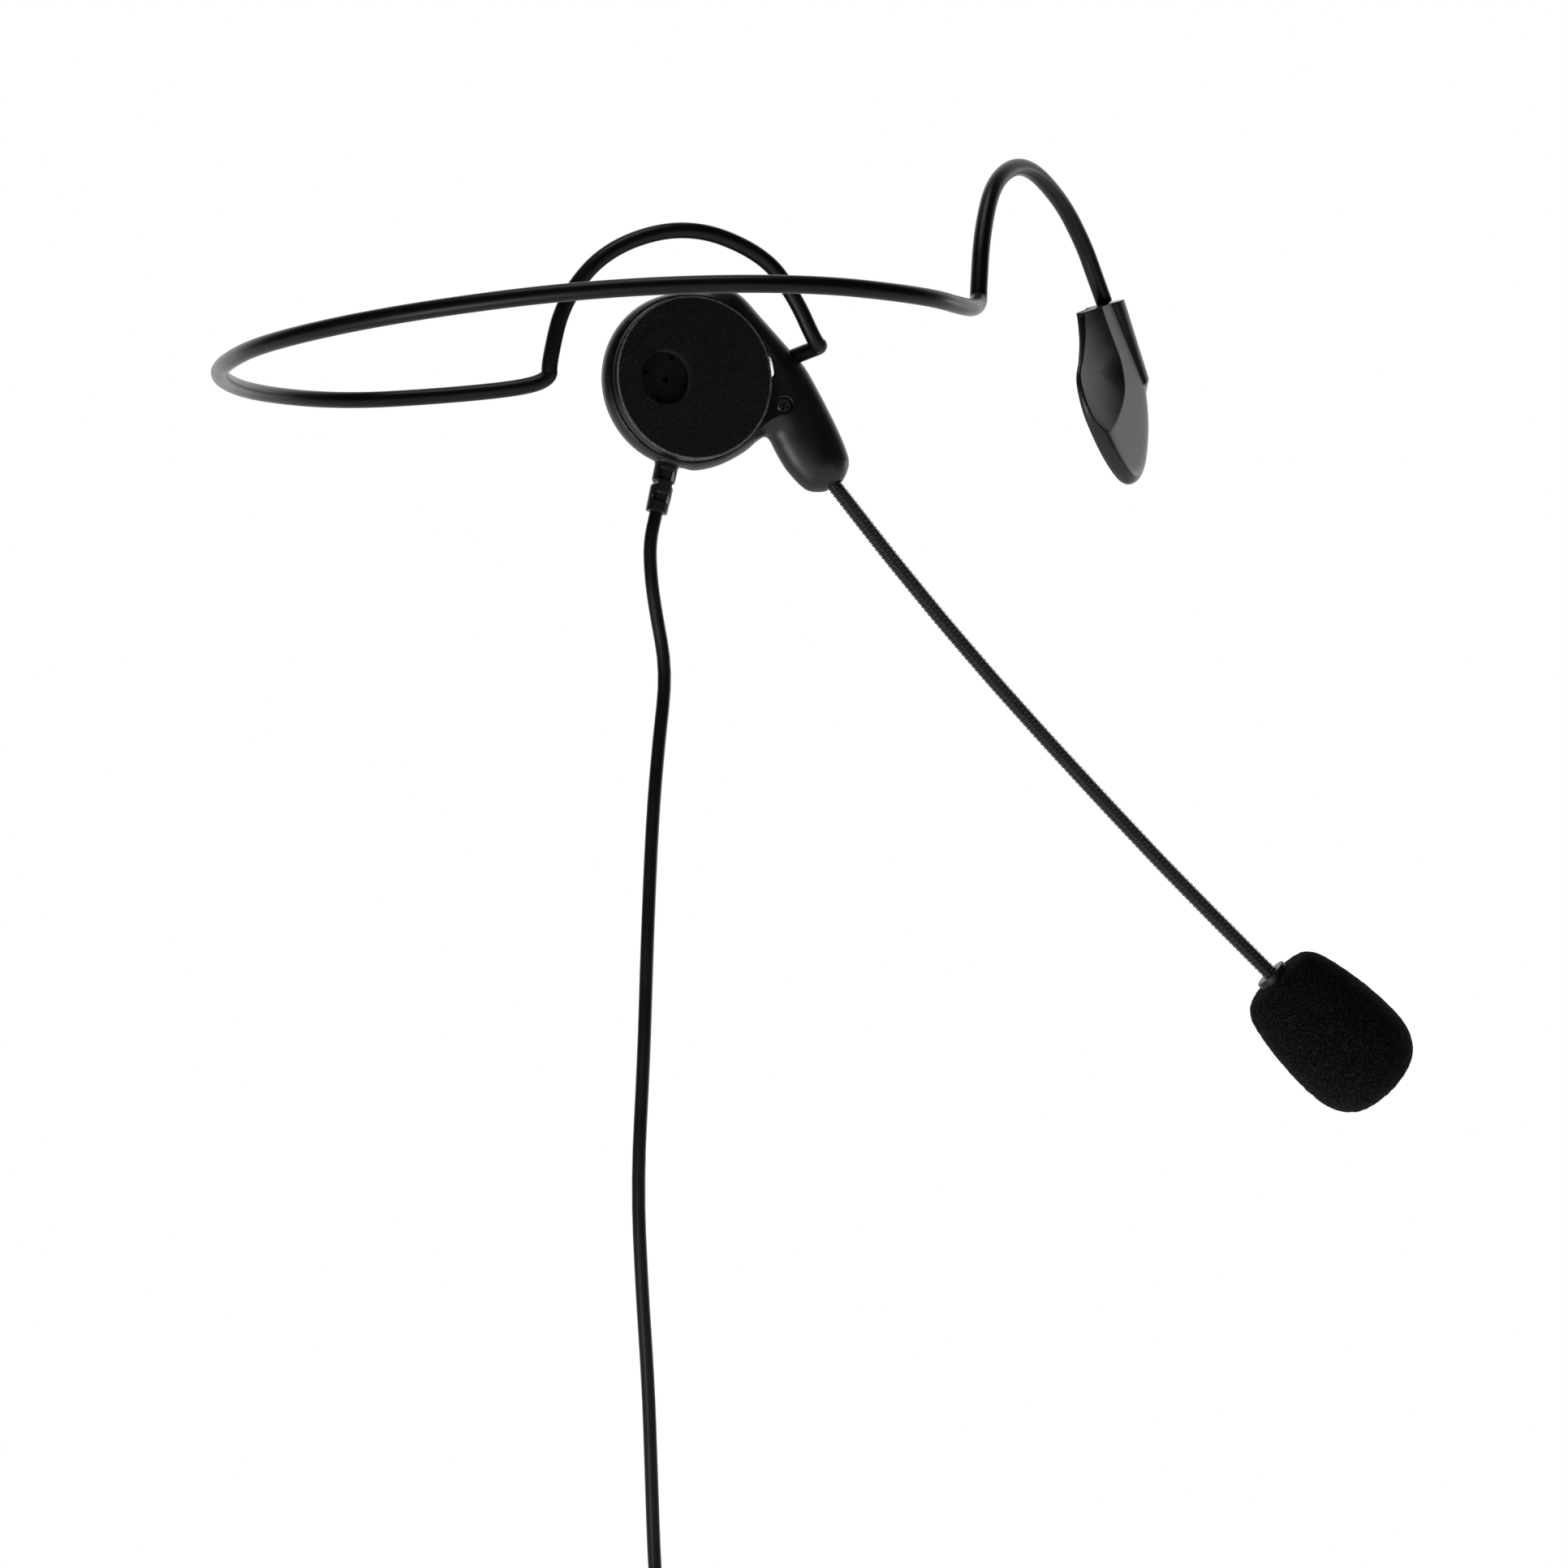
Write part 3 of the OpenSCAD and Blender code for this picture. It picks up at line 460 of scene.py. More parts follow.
LOOKS = {
    "spring_steel": dict(colour=(0.55, 0.55, 0.56), rough=0.3, metal=1, grain=0.15, bump=0.005),
    "band_sleeve": dict(colour=(0.004, 0.004, 0.005), rough=0.34, specular=0.25, grain=0.3, bump=0.006,
                        mottle=0.2),
    "steel_small": dict(colour=(0.5, 0.5, 0.52), rough=0.32, metal=1, grain=0.1, bump=0.004),
    "housing_plastic": dict(colour=(0.0065, 0.0065, 0.0085), rough=0.33, grain=0.16, bump=0.012,
                            specks=(0.22, 0.02, (0.02, 0.02, 0.024))),
    "screw_black": dict(colour=(0.06, 0.06, 0.062), rough=0.3, metal=0.6, grain=0.1, bump=0.01),
    "brass_small": dict(colour=(0.06, 0.05, 0.04), rough=0.4, metal=1, grain=0.1, bump=0.004),
    "circuit_board": dict(colour=(0.01, 0.09, 0.03), rough=0.4, grain=0.4, bump=0.01),
    # the foam's colour carries a painted highlight round its outer edge, where the edge attribute set on the
    # foam disc is high
    "ear_foam": dict(colour=(0.005, 0.005, 0.005), rough=0.95, specular=0.15, grain=0.3, bump=0.12,
                     sheen=0.05, specks=(0.24, 0.06, (0.05, 0.05, 0.049)),
                     painted_light=("edge_highlight", (0.2, 0.2, 0.195))),
    "magnet": dict(colour=(0.32, 0.32, 0.34), rough=0.35, metal=1, grain=0.2, bump=0.005),
    "driver_film": dict(colour=(0.02, 0.02, 0.02), rough=0.45, grain=0.5, bump=0.01),
    "relief_rubber": dict(colour=(0.009, 0.009, 0.010), rough=0.38, grain=0.2, bump=0.012),
    "gooseneck_metal": dict(colour=(0.012, 0.012, 0.013), rough=0.32, specular=0.6, grain=0.15, bump=0.01),
    "mic_plastic": dict(colour=(0.006, 0.006, 0.007), rough=0.42, grain=0.16, bump=0.01),
    "capsule_metal": dict(colour=(0.62, 0.62, 0.64), rough=0.28, metal=1, grain=0.1, bump=0.004),
    "screen_foam": dict(colour=(0.002, 0.002, 0.002), rough=0.95, specular=0.08, grain=0.35, bump=0.2,
                        specks=(0.2, 0.06, (0.08, 0.08, 0.08))),
    "cable_jacket": dict(colour=(0.005, 0.005, 0.006), rough=0.36, specular=0.35, grain=0.25, bump=0.008),
    "tie_strap": dict(colour=(0.012, 0.012, 0.012), rough=0.9, grain=0.3, bump=0.15, sheen=0.3),
    "plug_metal": dict(colour=(0.05, 0.05, 0.055), rough=0.4, grain=0.2, bump=0.01),
    "plug_gold": dict(colour=(0.83, 0.62, 0.27), rough=0.22, metal=1, grain=0.2, bump=0.003),
    "plug_rings": dict(colour=(0.02, 0.02, 0.02), rough=0.45, grain=0.2, bump=0.004),
    "pad_plastic": dict(colour=(0.006, 0.006, 0.0075), rough=0.3, grain=0.13, bump=0.014,
                        specks=(0.24, 0.02, (0.03, 0.03, 0.033))),
    "pad_rubber": dict(colour=(0.014, 0.014, 0.016), rough=0.6, grain=0.3, bump=0.02),
}
MATERIALS = {name: material(name, **look) for name, look in LOOKS.items()}


def paint(obj, slot):
    """Gives a piece the material of a slot of the record; a CAD node has its slot already."""
    obj.data.materials.clear()
    obj.data.materials.append(MATERIALS[slot])


# ---- camera: behind and to the right of the wearer, a little below, looking slightly up

VIEW_HEADING = 42      # from +Y toward +X, degrees
VIEW_RISE = 3.85
CAMERA_AT = (-0.9262, -1.0369, -0.1913)
VIEW_ANGLE = 14.44
heading, rise = math.radians(VIEW_HEADING), math.radians(VIEW_RISE)
view_dir = Vector((math.sin(heading) * math.cos(rise), math.cos(heading) * math.cos(rise), math.sin(rise)))
camera_data = bpy.data.cameras.new("camera")
camera_data.angle = math.radians(VIEW_ANGLE)
camera = bpy.data.objects.new("camera", camera_data)
camera.location = CAMERA_AT
camera.rotation_euler = view_dir.to_track_quat("-Z", "Y").to_euler()
bpy.context.scene.collection.objects.link(camera)
bpy.context.scene.camera = camera

# ---- cable: it hangs from the strain relief to a tied coil and its plug

CABLE_D = 3.2
RELIEF_LEN = 11.5
COIL_CENTRE = np.array([36.5, 70, -316])
COIL_MID_R = 17.5
COIL_TURNS = 8.25
ROW_SPREAD = 4.8       # half the distance between the coil's outermost rows
LAST_ROW = 1.6         # where the innermost layer ends
TURN_POINTS = 24
EXIT_SIDE = 8          # how far beside the coil's middle its end leaves
LEAD_IN = (29, 18, 8, -2)   # heights of the lead's last points over the plug's mouth
PLUG_AT = COIL_CENTRE + np.array([COIL_MID_R - CABLE_D, EXIT_SIDE, -34])


def below_relief(distance):
    return tuple(apply(EAR @ RELIEF_IN_EAR, [0, 0, distance]))


# from how many turns to how many, then the layer's radius and its row, each at the start and the end
R_OUT, R_MID, R_IN = COIL_MID_R + CABLE_D, COIL_MID_R, COIL_MID_R - CABLE_D
COIL_STAGES = [
    (0, 3, R_OUT, R_OUT, -ROW_SPREAD, ROW_SPREAD),
    (3, 3.2, R_OUT, R_MID, ROW_SPREAD, ROW_SPREAD),
    (3.2, 6, R_MID, R_MID, ROW_SPREAD, -ROW_SPREAD),
    (6, 6.2, R_MID, R_IN, -ROW_SPREAD, -ROW_SPREAD),
    (6.2, 8, R_IN, R_IN, -ROW_SPREAD, LAST_ROW),
    (8, COIL_TURNS, R_IN, R_IN, LAST_ROW, EXIT_SIDE),
]


def coil_point(turns):
    """A control point of the coil, which starts at its top and goes forward and down."""
    t0, t1, r0, r1, y0, y1 = [s for s in COIL_STAGES if s[0] <= turns + 1e-9][-1]
    t = (turns - t0) / (t1 - t0)
    r = (r0 + (r1 - r0) * t) / math.cos(math.pi / TURN_POINTS)
    a = 2 * math.pi * turns
    return tuple(COIL_CENTRE + np.array([r * math.sin(a), y0 + (y1 - y0) * t, r * math.cos(a)]))


hanging = [below_relief(RELIEF_LEN - 1.5), below_relief(RELIEF_LEN), below_relief(19),
           (28, 70, -44), (29.5, 70, -52), (33, 70, -66), (30.5, 70, -83), (28.5, 70, -102), (27, 70, -130),
           (26, 70, -158), (24, 70, -187), (25.5, 70, -212), (27.5, 70, -234), (28.5, 70, -255),
           (29.5, 70, -277), (29.5, 68.5, -287), (31.2, 66, -293.5)]
coiled = [coil_point((k + 0.5) / TURN_POINTS) for k in range(int(COIL_TURNS * TURN_POINTS))]
leaving = [tuple(PLUG_AT + np.array([0, 0, height])) for height in LEAD_IN]
cable_path = spline(hanging + coiled + leaving, 4)
cable = tube("cable_run", cable_path, even(CABLE_D / 2), 20, "ear_unit")
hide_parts("cable", "cable_coil", "plug_lead")
paint(cable, "cable_jacket")

# ---- neckband

SLEEVE_D = 3.8
BACK_MIDDLE = (-140, 0, -10.5)
LEFT_BACK = [(-127.5, 32.5, -11), (-101.5, 67.5, -8.5), (-71.5, 93.5, -6.5),
             (-41.5, 100.5, -5), (-21, 90, -3), (-6, 77, -1)]
RIGHT_BACK = [(-130.5, 34, -7), (-105.5, 68, -3), (-73.5, 93.5, -1.5),     # y is mirrored below
              (-43, 100, -2), (-21, 90, -1.5), (-6.5, 77.5, 1.5)]
# the ear loops: how far forward and how far up in the plane of each hook
LEFT_LOOP = [(0, 1.5), (-0.5, 5), (2.5, 20.5), (13.5, 33.5), (33, 39.5), (52, 33.5), (60.5, 23.5),
             (66.2, 12.9)]
RIGHT_LOOP = [(-3, 3.5), (-2.5, 5.5), (3.5, 20), (14, 33.5), (32, 40), (50, 34), (60, 25)]
PIVOT_RUN = 8.3        # how long the sleeve is straight before it enters the housing
PAD_PIN_RUN = 6        # the same for the temple pad
SLEEVE_IN = 1          # how far it goes in
LEFT_LEAN = LEFT_HOOK @ turn("x", HOOK_LEAN)

left_leg = [apply(LEFT_LEAN, (ahead, 0, up)) for ahead, up in LEFT_LOOP]
right_leg = [apply(PAD, (ahead, 0, up)) for ahead, up in RIGHT_LOOP]
right_side = [(x, -y, z) for x, y, z in RIGHT_BACK]
left_end = [apply(EAR @ PIVOT_IN_EAR, (0, 0, z)) for z in (-PIVOT_RUN, -0.55 * PIVOT_RUN, SLEEVE_IN)]
right_end = [apply(PAD @ PAD_PIN_IN_PAD, (0, 0, z)) for z in (SLEEVE_IN, -PAD_PIN_RUN)]
right_half = right_end + right_leg[::-1] + right_side[::-1]
left_half = LEFT_BACK + left_leg + left_end
band_path = spline(right_half + [BACK_MIDDLE] + left_half, 18)
sleeve = tube("sleeve", band_path, even(SLEEVE_D / 2), 32, "neckband")
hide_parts("neckband_sleeve")
paint(sleeve, "band_sleeve")

# ---- earphone housing, in the ear's frame: x forward, y outward, z up

SPLIT_Y = 7            # where the two halves meet
HALF_GAP = 0.025       # half the gap between them
HOOP_R = 21
HOOP_Y = (3.6, 9.4)
HOOP_FALL = 0.8        # how much lower the hoop's outside is at its edges than at its middle
SEAT_R = 20.15         # the hoop's bore is part of a ball about the middle of the pod's tilt axis
SEAT_REACH = (-3.4, 2.4)
FRONT_BORE_R = 20.3
ARM_Y = 7.6
ARM_ROUND = 5.4
ARM_CROWN = 8.2        # how far in from its outline the arm's faces go on rising
ARM_OUTLINE = through([
    (0, 20.6), (5, 22), (10.3, 22.5), (14.1, 21.2), (19, 16.4), (26.5, 8.8), (30.3, 4.8), (34.1, -1.3),
    (38.6, -9.5), (41.1, -15.1), (41.7, -18.6), (40, -22.6), (37.1, -24.5), (34.1, -25.2), (30.7, -24.5),
    (26.3, -20.4), (23.6, -16.4), (21.8, -13.2), (20.4, -12.5), (18.5, -13.5), (14.7, -16.6), (8.1, -19.7),
    (2, -20.9), (2, -18.5), (10, -15.5), (16, -9.5), (18.3, -2), (16, 6), (10, 12), (3, 15), (0, 17)], 4)
SCREW_AT = (23.6, -5.3)
SCREW_WELL_R = 2.0
SCREW_WELL_Y = 4.2     # the well is open toward the head and goes this far outward
PIVOT_HOLE_R = 2.05
PIVOT_HOLE_DEPTH = 1.25
NECK_HOLE_R = 2.0
NECK_HOLE_DEPTH = 6
PIN_HOLE_R = 1.05
PIN_HOLE_REACH = 20.8
# the short collar that the strain relief leaves from
MOUTH_R = 2.9
MOUTH_HALF_LEN = 1.7
MOUTH_IN = 1.5
MOUTH_Y = 6.5
MOUTH_HALF_Y = 2.3
# the slit beside the hoop, whose outer wall leans so that the view goes through it
SLIT_FROM = math.radians(4)
SLIT_HEIGHT = 5.3
SLIT_BACK_X = 10
SLIT_INNER_R = 19
SLIT_OUTER_R = 20.2    # at SLIT_Y
SLIT_Y = 0.4
SLIT_LEAN = 0.374


def rounded_box(qx, qy, r):
    outside = np.hypot(np.maximum(qx + r, 0), np.maximum(qy + r, 0))
    return outside + np.minimum(np.maximum(qx + r, qy + r), 0) - r


def slit_field(x, y, z, rho):
    wall_r = SLIT_OUTER_R + (y - SLIT_Y) * SLIT_LEAN
    up = z * math.cos(SLIT_FROM) - x * math.sin(SLIT_FROM)
    across = smooth_max(rho - wall_r, SLIT_INNER_R - rho, 0.3)
    return smooth_max(smooth_max(across, np.maximum(-up, up - SLIT_HEIGHT), 1.4), SLIT_BACK_X - x, 0.5)


def housing_field(x, y, z):
    rho = np.hypot(x, z)
    hoop_width = HOOP_Y[1] - HOOP_Y[0]
    off_middle = np.abs(y - sum(HOOP_Y) / 2) / hoop_width * 2
    hoop = smooth_max(rho - HOOP_R + HOOP_FALL * off_middle ** 2, (off_middle - 1) * hoop_width / 2, 0.5)
    inward = ARM_CROWN + polygon_field(ARM_OUTLINE, x, z)
    arm = (np.hypot(np.maximum(inward, 0) / ARM_CROWN, (y - ARM_Y) / ARM_ROUND) - 1) * ARM_ROUND
    along, radial = along_axis(RELIEF_IN_EAR, x, y, z)
    mouth = np.maximum(radial - MOUTH_R, np.abs(along + MOUTH_IN) - MOUTH_HALF_LEN)
    mouth = np.maximum(mouth, np.abs(y - MOUTH_Y) - MOUTH_HALF_Y)
    solid = smooth_min(smooth_min(hoop, arm, 1.6), mouth, 0.5)
    ball = np.sqrt(SEAT_R ** 2 - np.clip(y - SPLIT_Y, *SEAT_REACH) ** 2)
    bore = np.where(y < HOOP_Y[0] - 0.2, FRONT_BORE_R, ball)
    solid = smooth_max(solid, bore - rho, 0.12)
    solid = smooth_max(solid, -slit_field(x, y, z, rho), 0.5)
    along, radial = along_axis(PIVOT_IN_EAR, x, y, z)
    solid = smooth_max(solid, np.minimum(PIVOT_HOLE_R - radial, PIVOT_HOLE_DEPTH - along), 0.2)
    along, radial = along_axis(NECK_IN_EAR, x, y, z)
    solid = smooth_max(solid, np.minimum(NECK_HOLE_R - radial, along + NECK_HOLE_DEPTH), 0.25)
    from_screw = np.hypot(x - SCREW_AT[0], z - SCREW_AT[1])
    solid = smooth_max(solid, np.minimum(SCREW_WELL_R - from_screw, SCREW_WELL_Y - y), 0.25)
    pin_hole = np.minimum(PIN_HOLE_R - np.hypot(y - SPLIT_Y, z), PIN_HOLE_REACH - np.abs(x))
    return np.maximum(solid, pin_hole)


for half, sign, y_range in (("front", 1, (1.9, SPLIT_Y + 0.15)), ("rear", -1, (SPLIT_Y - 0.15, 13.3))):
    def half_field(x, y, z):
        return smooth_max(housing_field(x, y, z), sign * (y - SPLIT_Y) + HALF_GAP, 0.1)
    low, high = (-21.7, y_range[0], -26), (42.6, y_range[1], 23.6)
    points, faces = surface_of(half_field, low, high, (0.26, 0.22, 0.26))
    shell = put_mesh("shell_" + half, points, faces, "ear_unit", EAR, sharp=50)
    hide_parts("housing_" + half)
    paint(shell, "housing_plastic")

# ---- pod, in the ear's frame with its axis outward

OUTWARD = turn("x", -90)
POD_BALL_R = 20.05
ball_part = [(math.sqrt(POD_BALL_R ** 2 - (y - SPLIT_Y) ** 2), y) for y in np.linspace(2.2, 9.4, 13)]
front_rim = [(17.8, 1.6), (19.2, 1.6)]
back_and_inside = [(18.4, 10.4), (13.5, 12), (0.01, 12), (0.01, 10.8), (12.7, 10.8), (16.6, 9.6), (17.8, 8.2)]
cup_profile = rounded(front_rim + ball_part + back_and_inside, 0.4, 6)
cup = lathe("pod_shell", cup_profile[::-1], "pod", EAR @ OUTWARD, 192)
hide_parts("pod_cup")
paint(cup, "housing_plastic")

FOAM_R = 19.55
FOAM_T = 3.2           # the thickness inside the pod
FOAM_RIM_T = 1.5       # the thickness of the rim that covers the pod's front
FOAM_IN_POD_R = 17.7
HOLE_AT = (-7.0, -0.2)
FOAM_HOLE_R = 6.45
FACE_RINGS = 52
FOAM_STEPS = 360
# the unevenness of the face: height, cell and seed of each noise; FOAM_LIFT is added with each of them
FOAM_NOISE = ((0.07, 0.5, 11), (0.05, 2.2, 12))
FOAM_LIFT = 0.04
EDGE_NOISE = (0.004, 0.6, 13)


def foam_ring():
    """Stations of the foam disc from its hole's back edge round to the back again.

    Each has its centre, as a share of the way to the hole's, its radius and its height.
    """
    found = [(1, FOAM_HOLE_R, FOAM_T), (1, FOAM_HOLE_R, 2.2), (1, FOAM_HOLE_R, 1.2), (1, FOAM_HOLE_R, 0.35),
             (1, FOAM_HOLE_R + 0.06, 0.1), (1, FOAM_HOLE_R + 0.25, 0)]
    for k in range(1, FACE_RINGS):
        t = k / FACE_RINGS
        found.append((1 - t, FOAM_HOLE_R + 0.25 + t * (FOAM_R - 0.6 - FOAM_HOLE_R), 0))
    # the back edge is bevelled, so that it clears the hoop when the pod tilts
    found += [(0, FOAM_R - 0.35, 0), (0, FOAM_R - 0.1, 0.12), (0, FOAM_R, 0.3), (0, FOAM_R - 0.35, 0.55),
              (0, FOAM_R - 0.75, 0.9), (0, FOAM_R - 1, FOAM_RIM_T), (0, 18.2, FOAM_RIM_T),
              (0, FOAM_IN_POD_R, FOAM_RIM_T), (0, FOAM_IN_POD_R, FOAM_T), (0.3, 14, FOAM_T),
              (0.7, 10, FOAM_T)]
    return found


angles = 2 * math.pi * np.arange(FOAM_STEPS) / FOAM_STEPS
stations = foam_ring()
rings = [np.stack([c * HOLE_AT[0] + r * np.cos(angles), np.full(FOAM_STEPS, y),
                   c * HOLE_AT[1] + r * np.sin(angles)], 1)
         for c, r, y in stations]
foam_points = np.concatenate(rings)
shown = foam_points[:, 1] < FOAM_RIM_T - 0.05
for height, cell, seed in FOAM_NOISE:
    foam_points[shown, 1] += height * lattice_noise(foam_points[shown], cell, seed) + FOAM_LIFT


def near_edge(margin):
    """Which points lie round the foam's outer edge, within a margin of its radius."""
    return np.array([abs(r - FOAM_R) < margin and y < 1.2 for _, r, y in stations]).repeat(FOAM_STEPS)


ragged = near_edge(0.5)
height, cell, seed = EDGE_NOISE
for axis in (0, 2):
    foam_points[ragged, axis] *= 1 - height * lattice_noise(foam_points[ragged], cell, seed)
foam = put_mesh("foam_disc", foam_points, grid_faces(len(stations), FOAM_STEPS, True, True), "pod", EAR, 180)
# painted highlight: the colour is lightened round the foam's outer edge, for the light that its fuzzy cut
# edge catches
edge_highlight = foam.data.attributes.new("edge_highlight", "FLOAT", "POINT")
painted_highlight = near_edge(0.4) * (0.6 + 0.4 * lattice_noise(foam_points, 0.5, 14))
edge_highlight.data.foreach_set("value", painted_highlight.astype(np.float32))
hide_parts("foam_pad")
paint(foam, "ear_foam")

# ---- strain relief

RELIEF_R = 2.85
RELIEF_END_R = 2.6
CORE_R = 1.75
CORE_IN = 2.8          # how far the core goes on into the housing
CABLE_MOUTH = 0.6      # how far back the relief is open round the cable
RIB_X = 2.2            # how far from the middle the windows begin
WINDOWS = [(1, 3.7), (6.9, 9.1)]
WINDOW_CORNER = 0.7
NOTCH_MIDDLE = 4.65
NOTCH_HALF = 0.35
NOTCH_FLARE = 0.35     # how fast the notch widens outward


def relief_field(x, y, z):
    rho = np.hypot(x, y)
    wall_r = RELIEF_R + (RELIEF_END_R - RELIEF_R) * z / RELIEF_LEN
    solid = np.maximum(rho - wall_r, np.abs(z - RELIEF_LEN / 2) - RELIEF_LEN / 2)
    for low, high in WINDOWS:
        up = np.abs(z - (low + high) / 2) - (high - low) / 2
        solid = smooth_max(solid, -rounded_box(np.abs(x) - RIB_X, up, WINDOW_CORNER), 0.15)
    notch = np.abs(z - NOTCH_MIDDLE) - NOTCH_HALF - NOTCH_FLARE * np.maximum(np.abs(x) - CORE_R, -1)
    solid = smooth_max(solid, -np.maximum(notch, CORE_R + 0.05 - np.abs(x)), 0.15)
    core = np.maximum(rho - CORE_R, np.abs(z - (RELIEF_LEN - CORE_IN) / 2) - (RELIEF_LEN + CORE_IN) / 2)
    solid = smooth_min(solid, core, 0.15)
    return np.maximum(solid, np.minimum(CABLE_D / 2 - rho, z - RELIEF_LEN + CABLE_MOUTH))


points, faces = surface_of(relief_field, (-3, -3, -2.9), (3, 3, RELIEF_LEN + 0.2), (0.13, 0.13, 0.13))
relief = put_mesh("relief_sleeve", points, faces, "ear_unit", EAR @ RELIEF_IN_EAR, 40)
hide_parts("strain_relief")
paint(relief, "relief_rubber")

# ---- gooseneck: a ribbed tube in pieces, each from the middle of one link to the middle of the next

NECK_R = 1.9
NECK_IN = 5            # how far back into the housing the tube begins
RIB_PITCH = 1.26       # one wide winding and one narrower one beside it
RIB_DEPTH = 0.3
NARROW_DEPTH = 0.13    # how much lower the narrower winding stands
RIB_RINGS = 14         # rings of points to one pitch
NECK_SIDES = 24
MIC_FROM = LINK_LEN - 2.2
BEND_REACH = 6         # how far either side of a joint the tube bends


def neck_line():
    """The gooseneck's centreline from inside the housing to the collar, rounded at each joint."""
    start = apply(EAR @ NECK_IN_EAR, (0, 0, -NECK_IN))
    end = apply(LINKS[-1], (0, 0, MIC_FROM + 0.8))
    corners = [start] + [apply(link, (0, 0, 0)) for link in LINKS] + [end]

    def eased(corner, other):
        away = other - corner
        return corner + away * min(0.45, BEND_REACH / np.linalg.norm(away))

    found = [start]
    for before, corner, after in zip(corners, corners[1:], corners[2:]):
        a, b = eased(corner, before), eased(corner, after)
        found += [(1 - t) ** 2 * a + 2 * t * (1 - t) * corner + t * t * b for t in np.linspace(0, 1, 9)]
    return np.array(found + [end])


neck_middle = neck_line()
neck_length = distances(neck_middle)[-1]
ring_count = int(neck_length / RIB_PITCH * RIB_RINGS)
ring_at = np.linspace(0, neck_length, ring_count)


def neck_radius(i, angle):
    phase = ring_at[i] / RIB_PITCH * 2 * math.pi + angle
    groove = RIB_DEPTH * (0.5 + 0.5 * np.cos(2 * phase)) ** 2
    return NECK_R - groove - NARROW_DEPTH * (0.5 + 0.5 * np.sin(phase))


neck_points = tube_points(resampled(neck_middle, ring_at), neck_radius, NECK_SIDES)
neck_points = neck_points.reshape(ring_count, NECK_SIDES, 3)
middles = [NECK_IN + FIRST_JOINT_OUT + LINK_LEN * (k + 0.5) for k in range(len(LINKS))]
ends = [0] + [int(np.searchsorted(ring_at, middle)) for middle in middles] + [ring_count - 1]
bodies = ["ear_unit"] + ["link_%d" % (k + 1) for k in range(len(LINKS))]
for k in range(len(LINKS) + 1):
    part = neck_points[ends[k]:ends[k + 1] + 1]
    blended = k < len(LINKS)
    piece = put_mesh("neck_%d" % (k + 1), part.reshape(-1, 3), capped_faces(len(part), NECK_SIDES),
                     None if blended else bodies[k], sharp=80)
    if blended:
        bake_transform(piece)
        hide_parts("gooseneck_link_%d" % (k + 1))
        if k == 0:
            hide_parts("gooseneck_root")
    paint(piece, "gooseneck_metal")

# ---- microphone: collar and windscreen

COLLAR_R = 4.2
COLLAR_LEN = 3.8
MIC = LINKS[-1] @ move(0, 0, MIC_FROM)
collar_profile = [(1.0, 1), (1.93, 1), (1.93, 0), (COLLAR_R, 0), (COLLAR_R, COLLAR_LEN), (1.0, COLLAR_LEN)]
collar = lathe("collar", rounded(collar_profile, 0.35, 5), "link_8", MIC, 96)
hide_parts("mic_collar")
paint(collar, "mic_plastic")

SCREEN_R = 14.5
SCREEN_TILT = 1.2
SCREEN_FROM = 1.4      # where the windscreen begins, above the collar's start
SCREEN_RINGS = 210
SCREEN_STEPS = 300
NICK_AT = (9.2, 0.6, 37.6 + SCREEN_FROM)
NICK_DEPTH = 0.7
screen_side = [(0.02, 39.8), (SCREEN_R - 9, 39.4), (SCREEN_R - 4.9, 37.9), (SCREEN_R - 2.2, 35.2),
               (SCREEN_R - 0.5, 31.3), (SCREEN_R, 26), (SCREEN_R - 0.1, 20), (SCREEN_R - 0.7, 14),
               (SCREEN_R - 1.7, 8), (SCREEN_R - 2.7, 4.2), (SCREEN_R - 3.9, 1.9), (SCREEN_R - 6, 0.5),
               (5.4, 0.1), (4.5, 0.35), (4.25, 1.4)]
side = spline(screen_side, 12)
side = resampled(side, np.linspace(0, distances(side)[-1], SCREEN_RINGS))
angles = 2 * math.pi * np.arange(SCREEN_STEPS) / SCREEN_STEPS
screen_points = np.concatenate([
    np.stack([r * np.cos(angles), r * np.sin(angles), np.full(SCREEN_STEPS, z + SCREEN_FROM)], 1)
    for r, z in side])
outward = screen_points - np.array([0, 0, 20.0])
outward /= np.linalg.norm(outward, axis=1)[:, None]
rough = 0.10 * lattice_noise(screen_points, 0.55, 21) + 0.10 * lattice_noise(screen_points, 1.3, 22) - 0.1
screen_points += rough[:, None] * outward
nick = np.exp(-((screen_points - np.array(NICK_AT)) ** 2).sum(axis=1) / 1.6)
screen_points -= NICK_DEPTH * nick[:, None] * outward
faces = [face[::-1] for face in capped_faces(SCREEN_RINGS, SCREEN_STEPS)]
screen = put_mesh("windscreen_foam", screen_points, faces, "link_8", MIC @ turn("y", -SCREEN_TILT), 180)
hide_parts("windscreen")
paint(screen, "screen_foam")

# ---- temple pad, in the leaning plane of the right hook: x forward, y inward, z up

PAD_OUTLINE = [(51.7, 12), (51.7, 7), (51.2, 2), (49.2, -3), (46.5, -8), (48.2, -15.5), (53.8, -22.5),
               (59.8, -27.3), (65.6, -29.8), (70.8, -28.9), (75.6, -24.5), (79.6, -16.5), (80.9, -9),
               (80.2, -3), (75.6, 6), (71, 14), (68, 20)]
CARRIER_T = 1.2
SHELL_RISE = 1.9       # how far the shell's outer face stands proud of its rim
SHELL_EDGE = 0.9       # the distance in from the rim in which it gains most of that
PAD_TOP_TILT = math.radians(15)
PAD_TOP = (67.3, 12.05)
# inside this outline the shell's outer face falls away; the outline's front is the crisp edge that runs
# from the socket down to the rear rim
SCOOP = [(54, 17), (59.5, 8), (62.8, 3), (66, -2.2), (66.1, -8.5), (61.4, -14.5), (54.2, -19.8), (40, -27),
         (25, -8), (35, 15)]
SCOOP_DEPTH = 2.9
SCOOP_REACH = 8        # the distance in which the scoop gains most of its depth
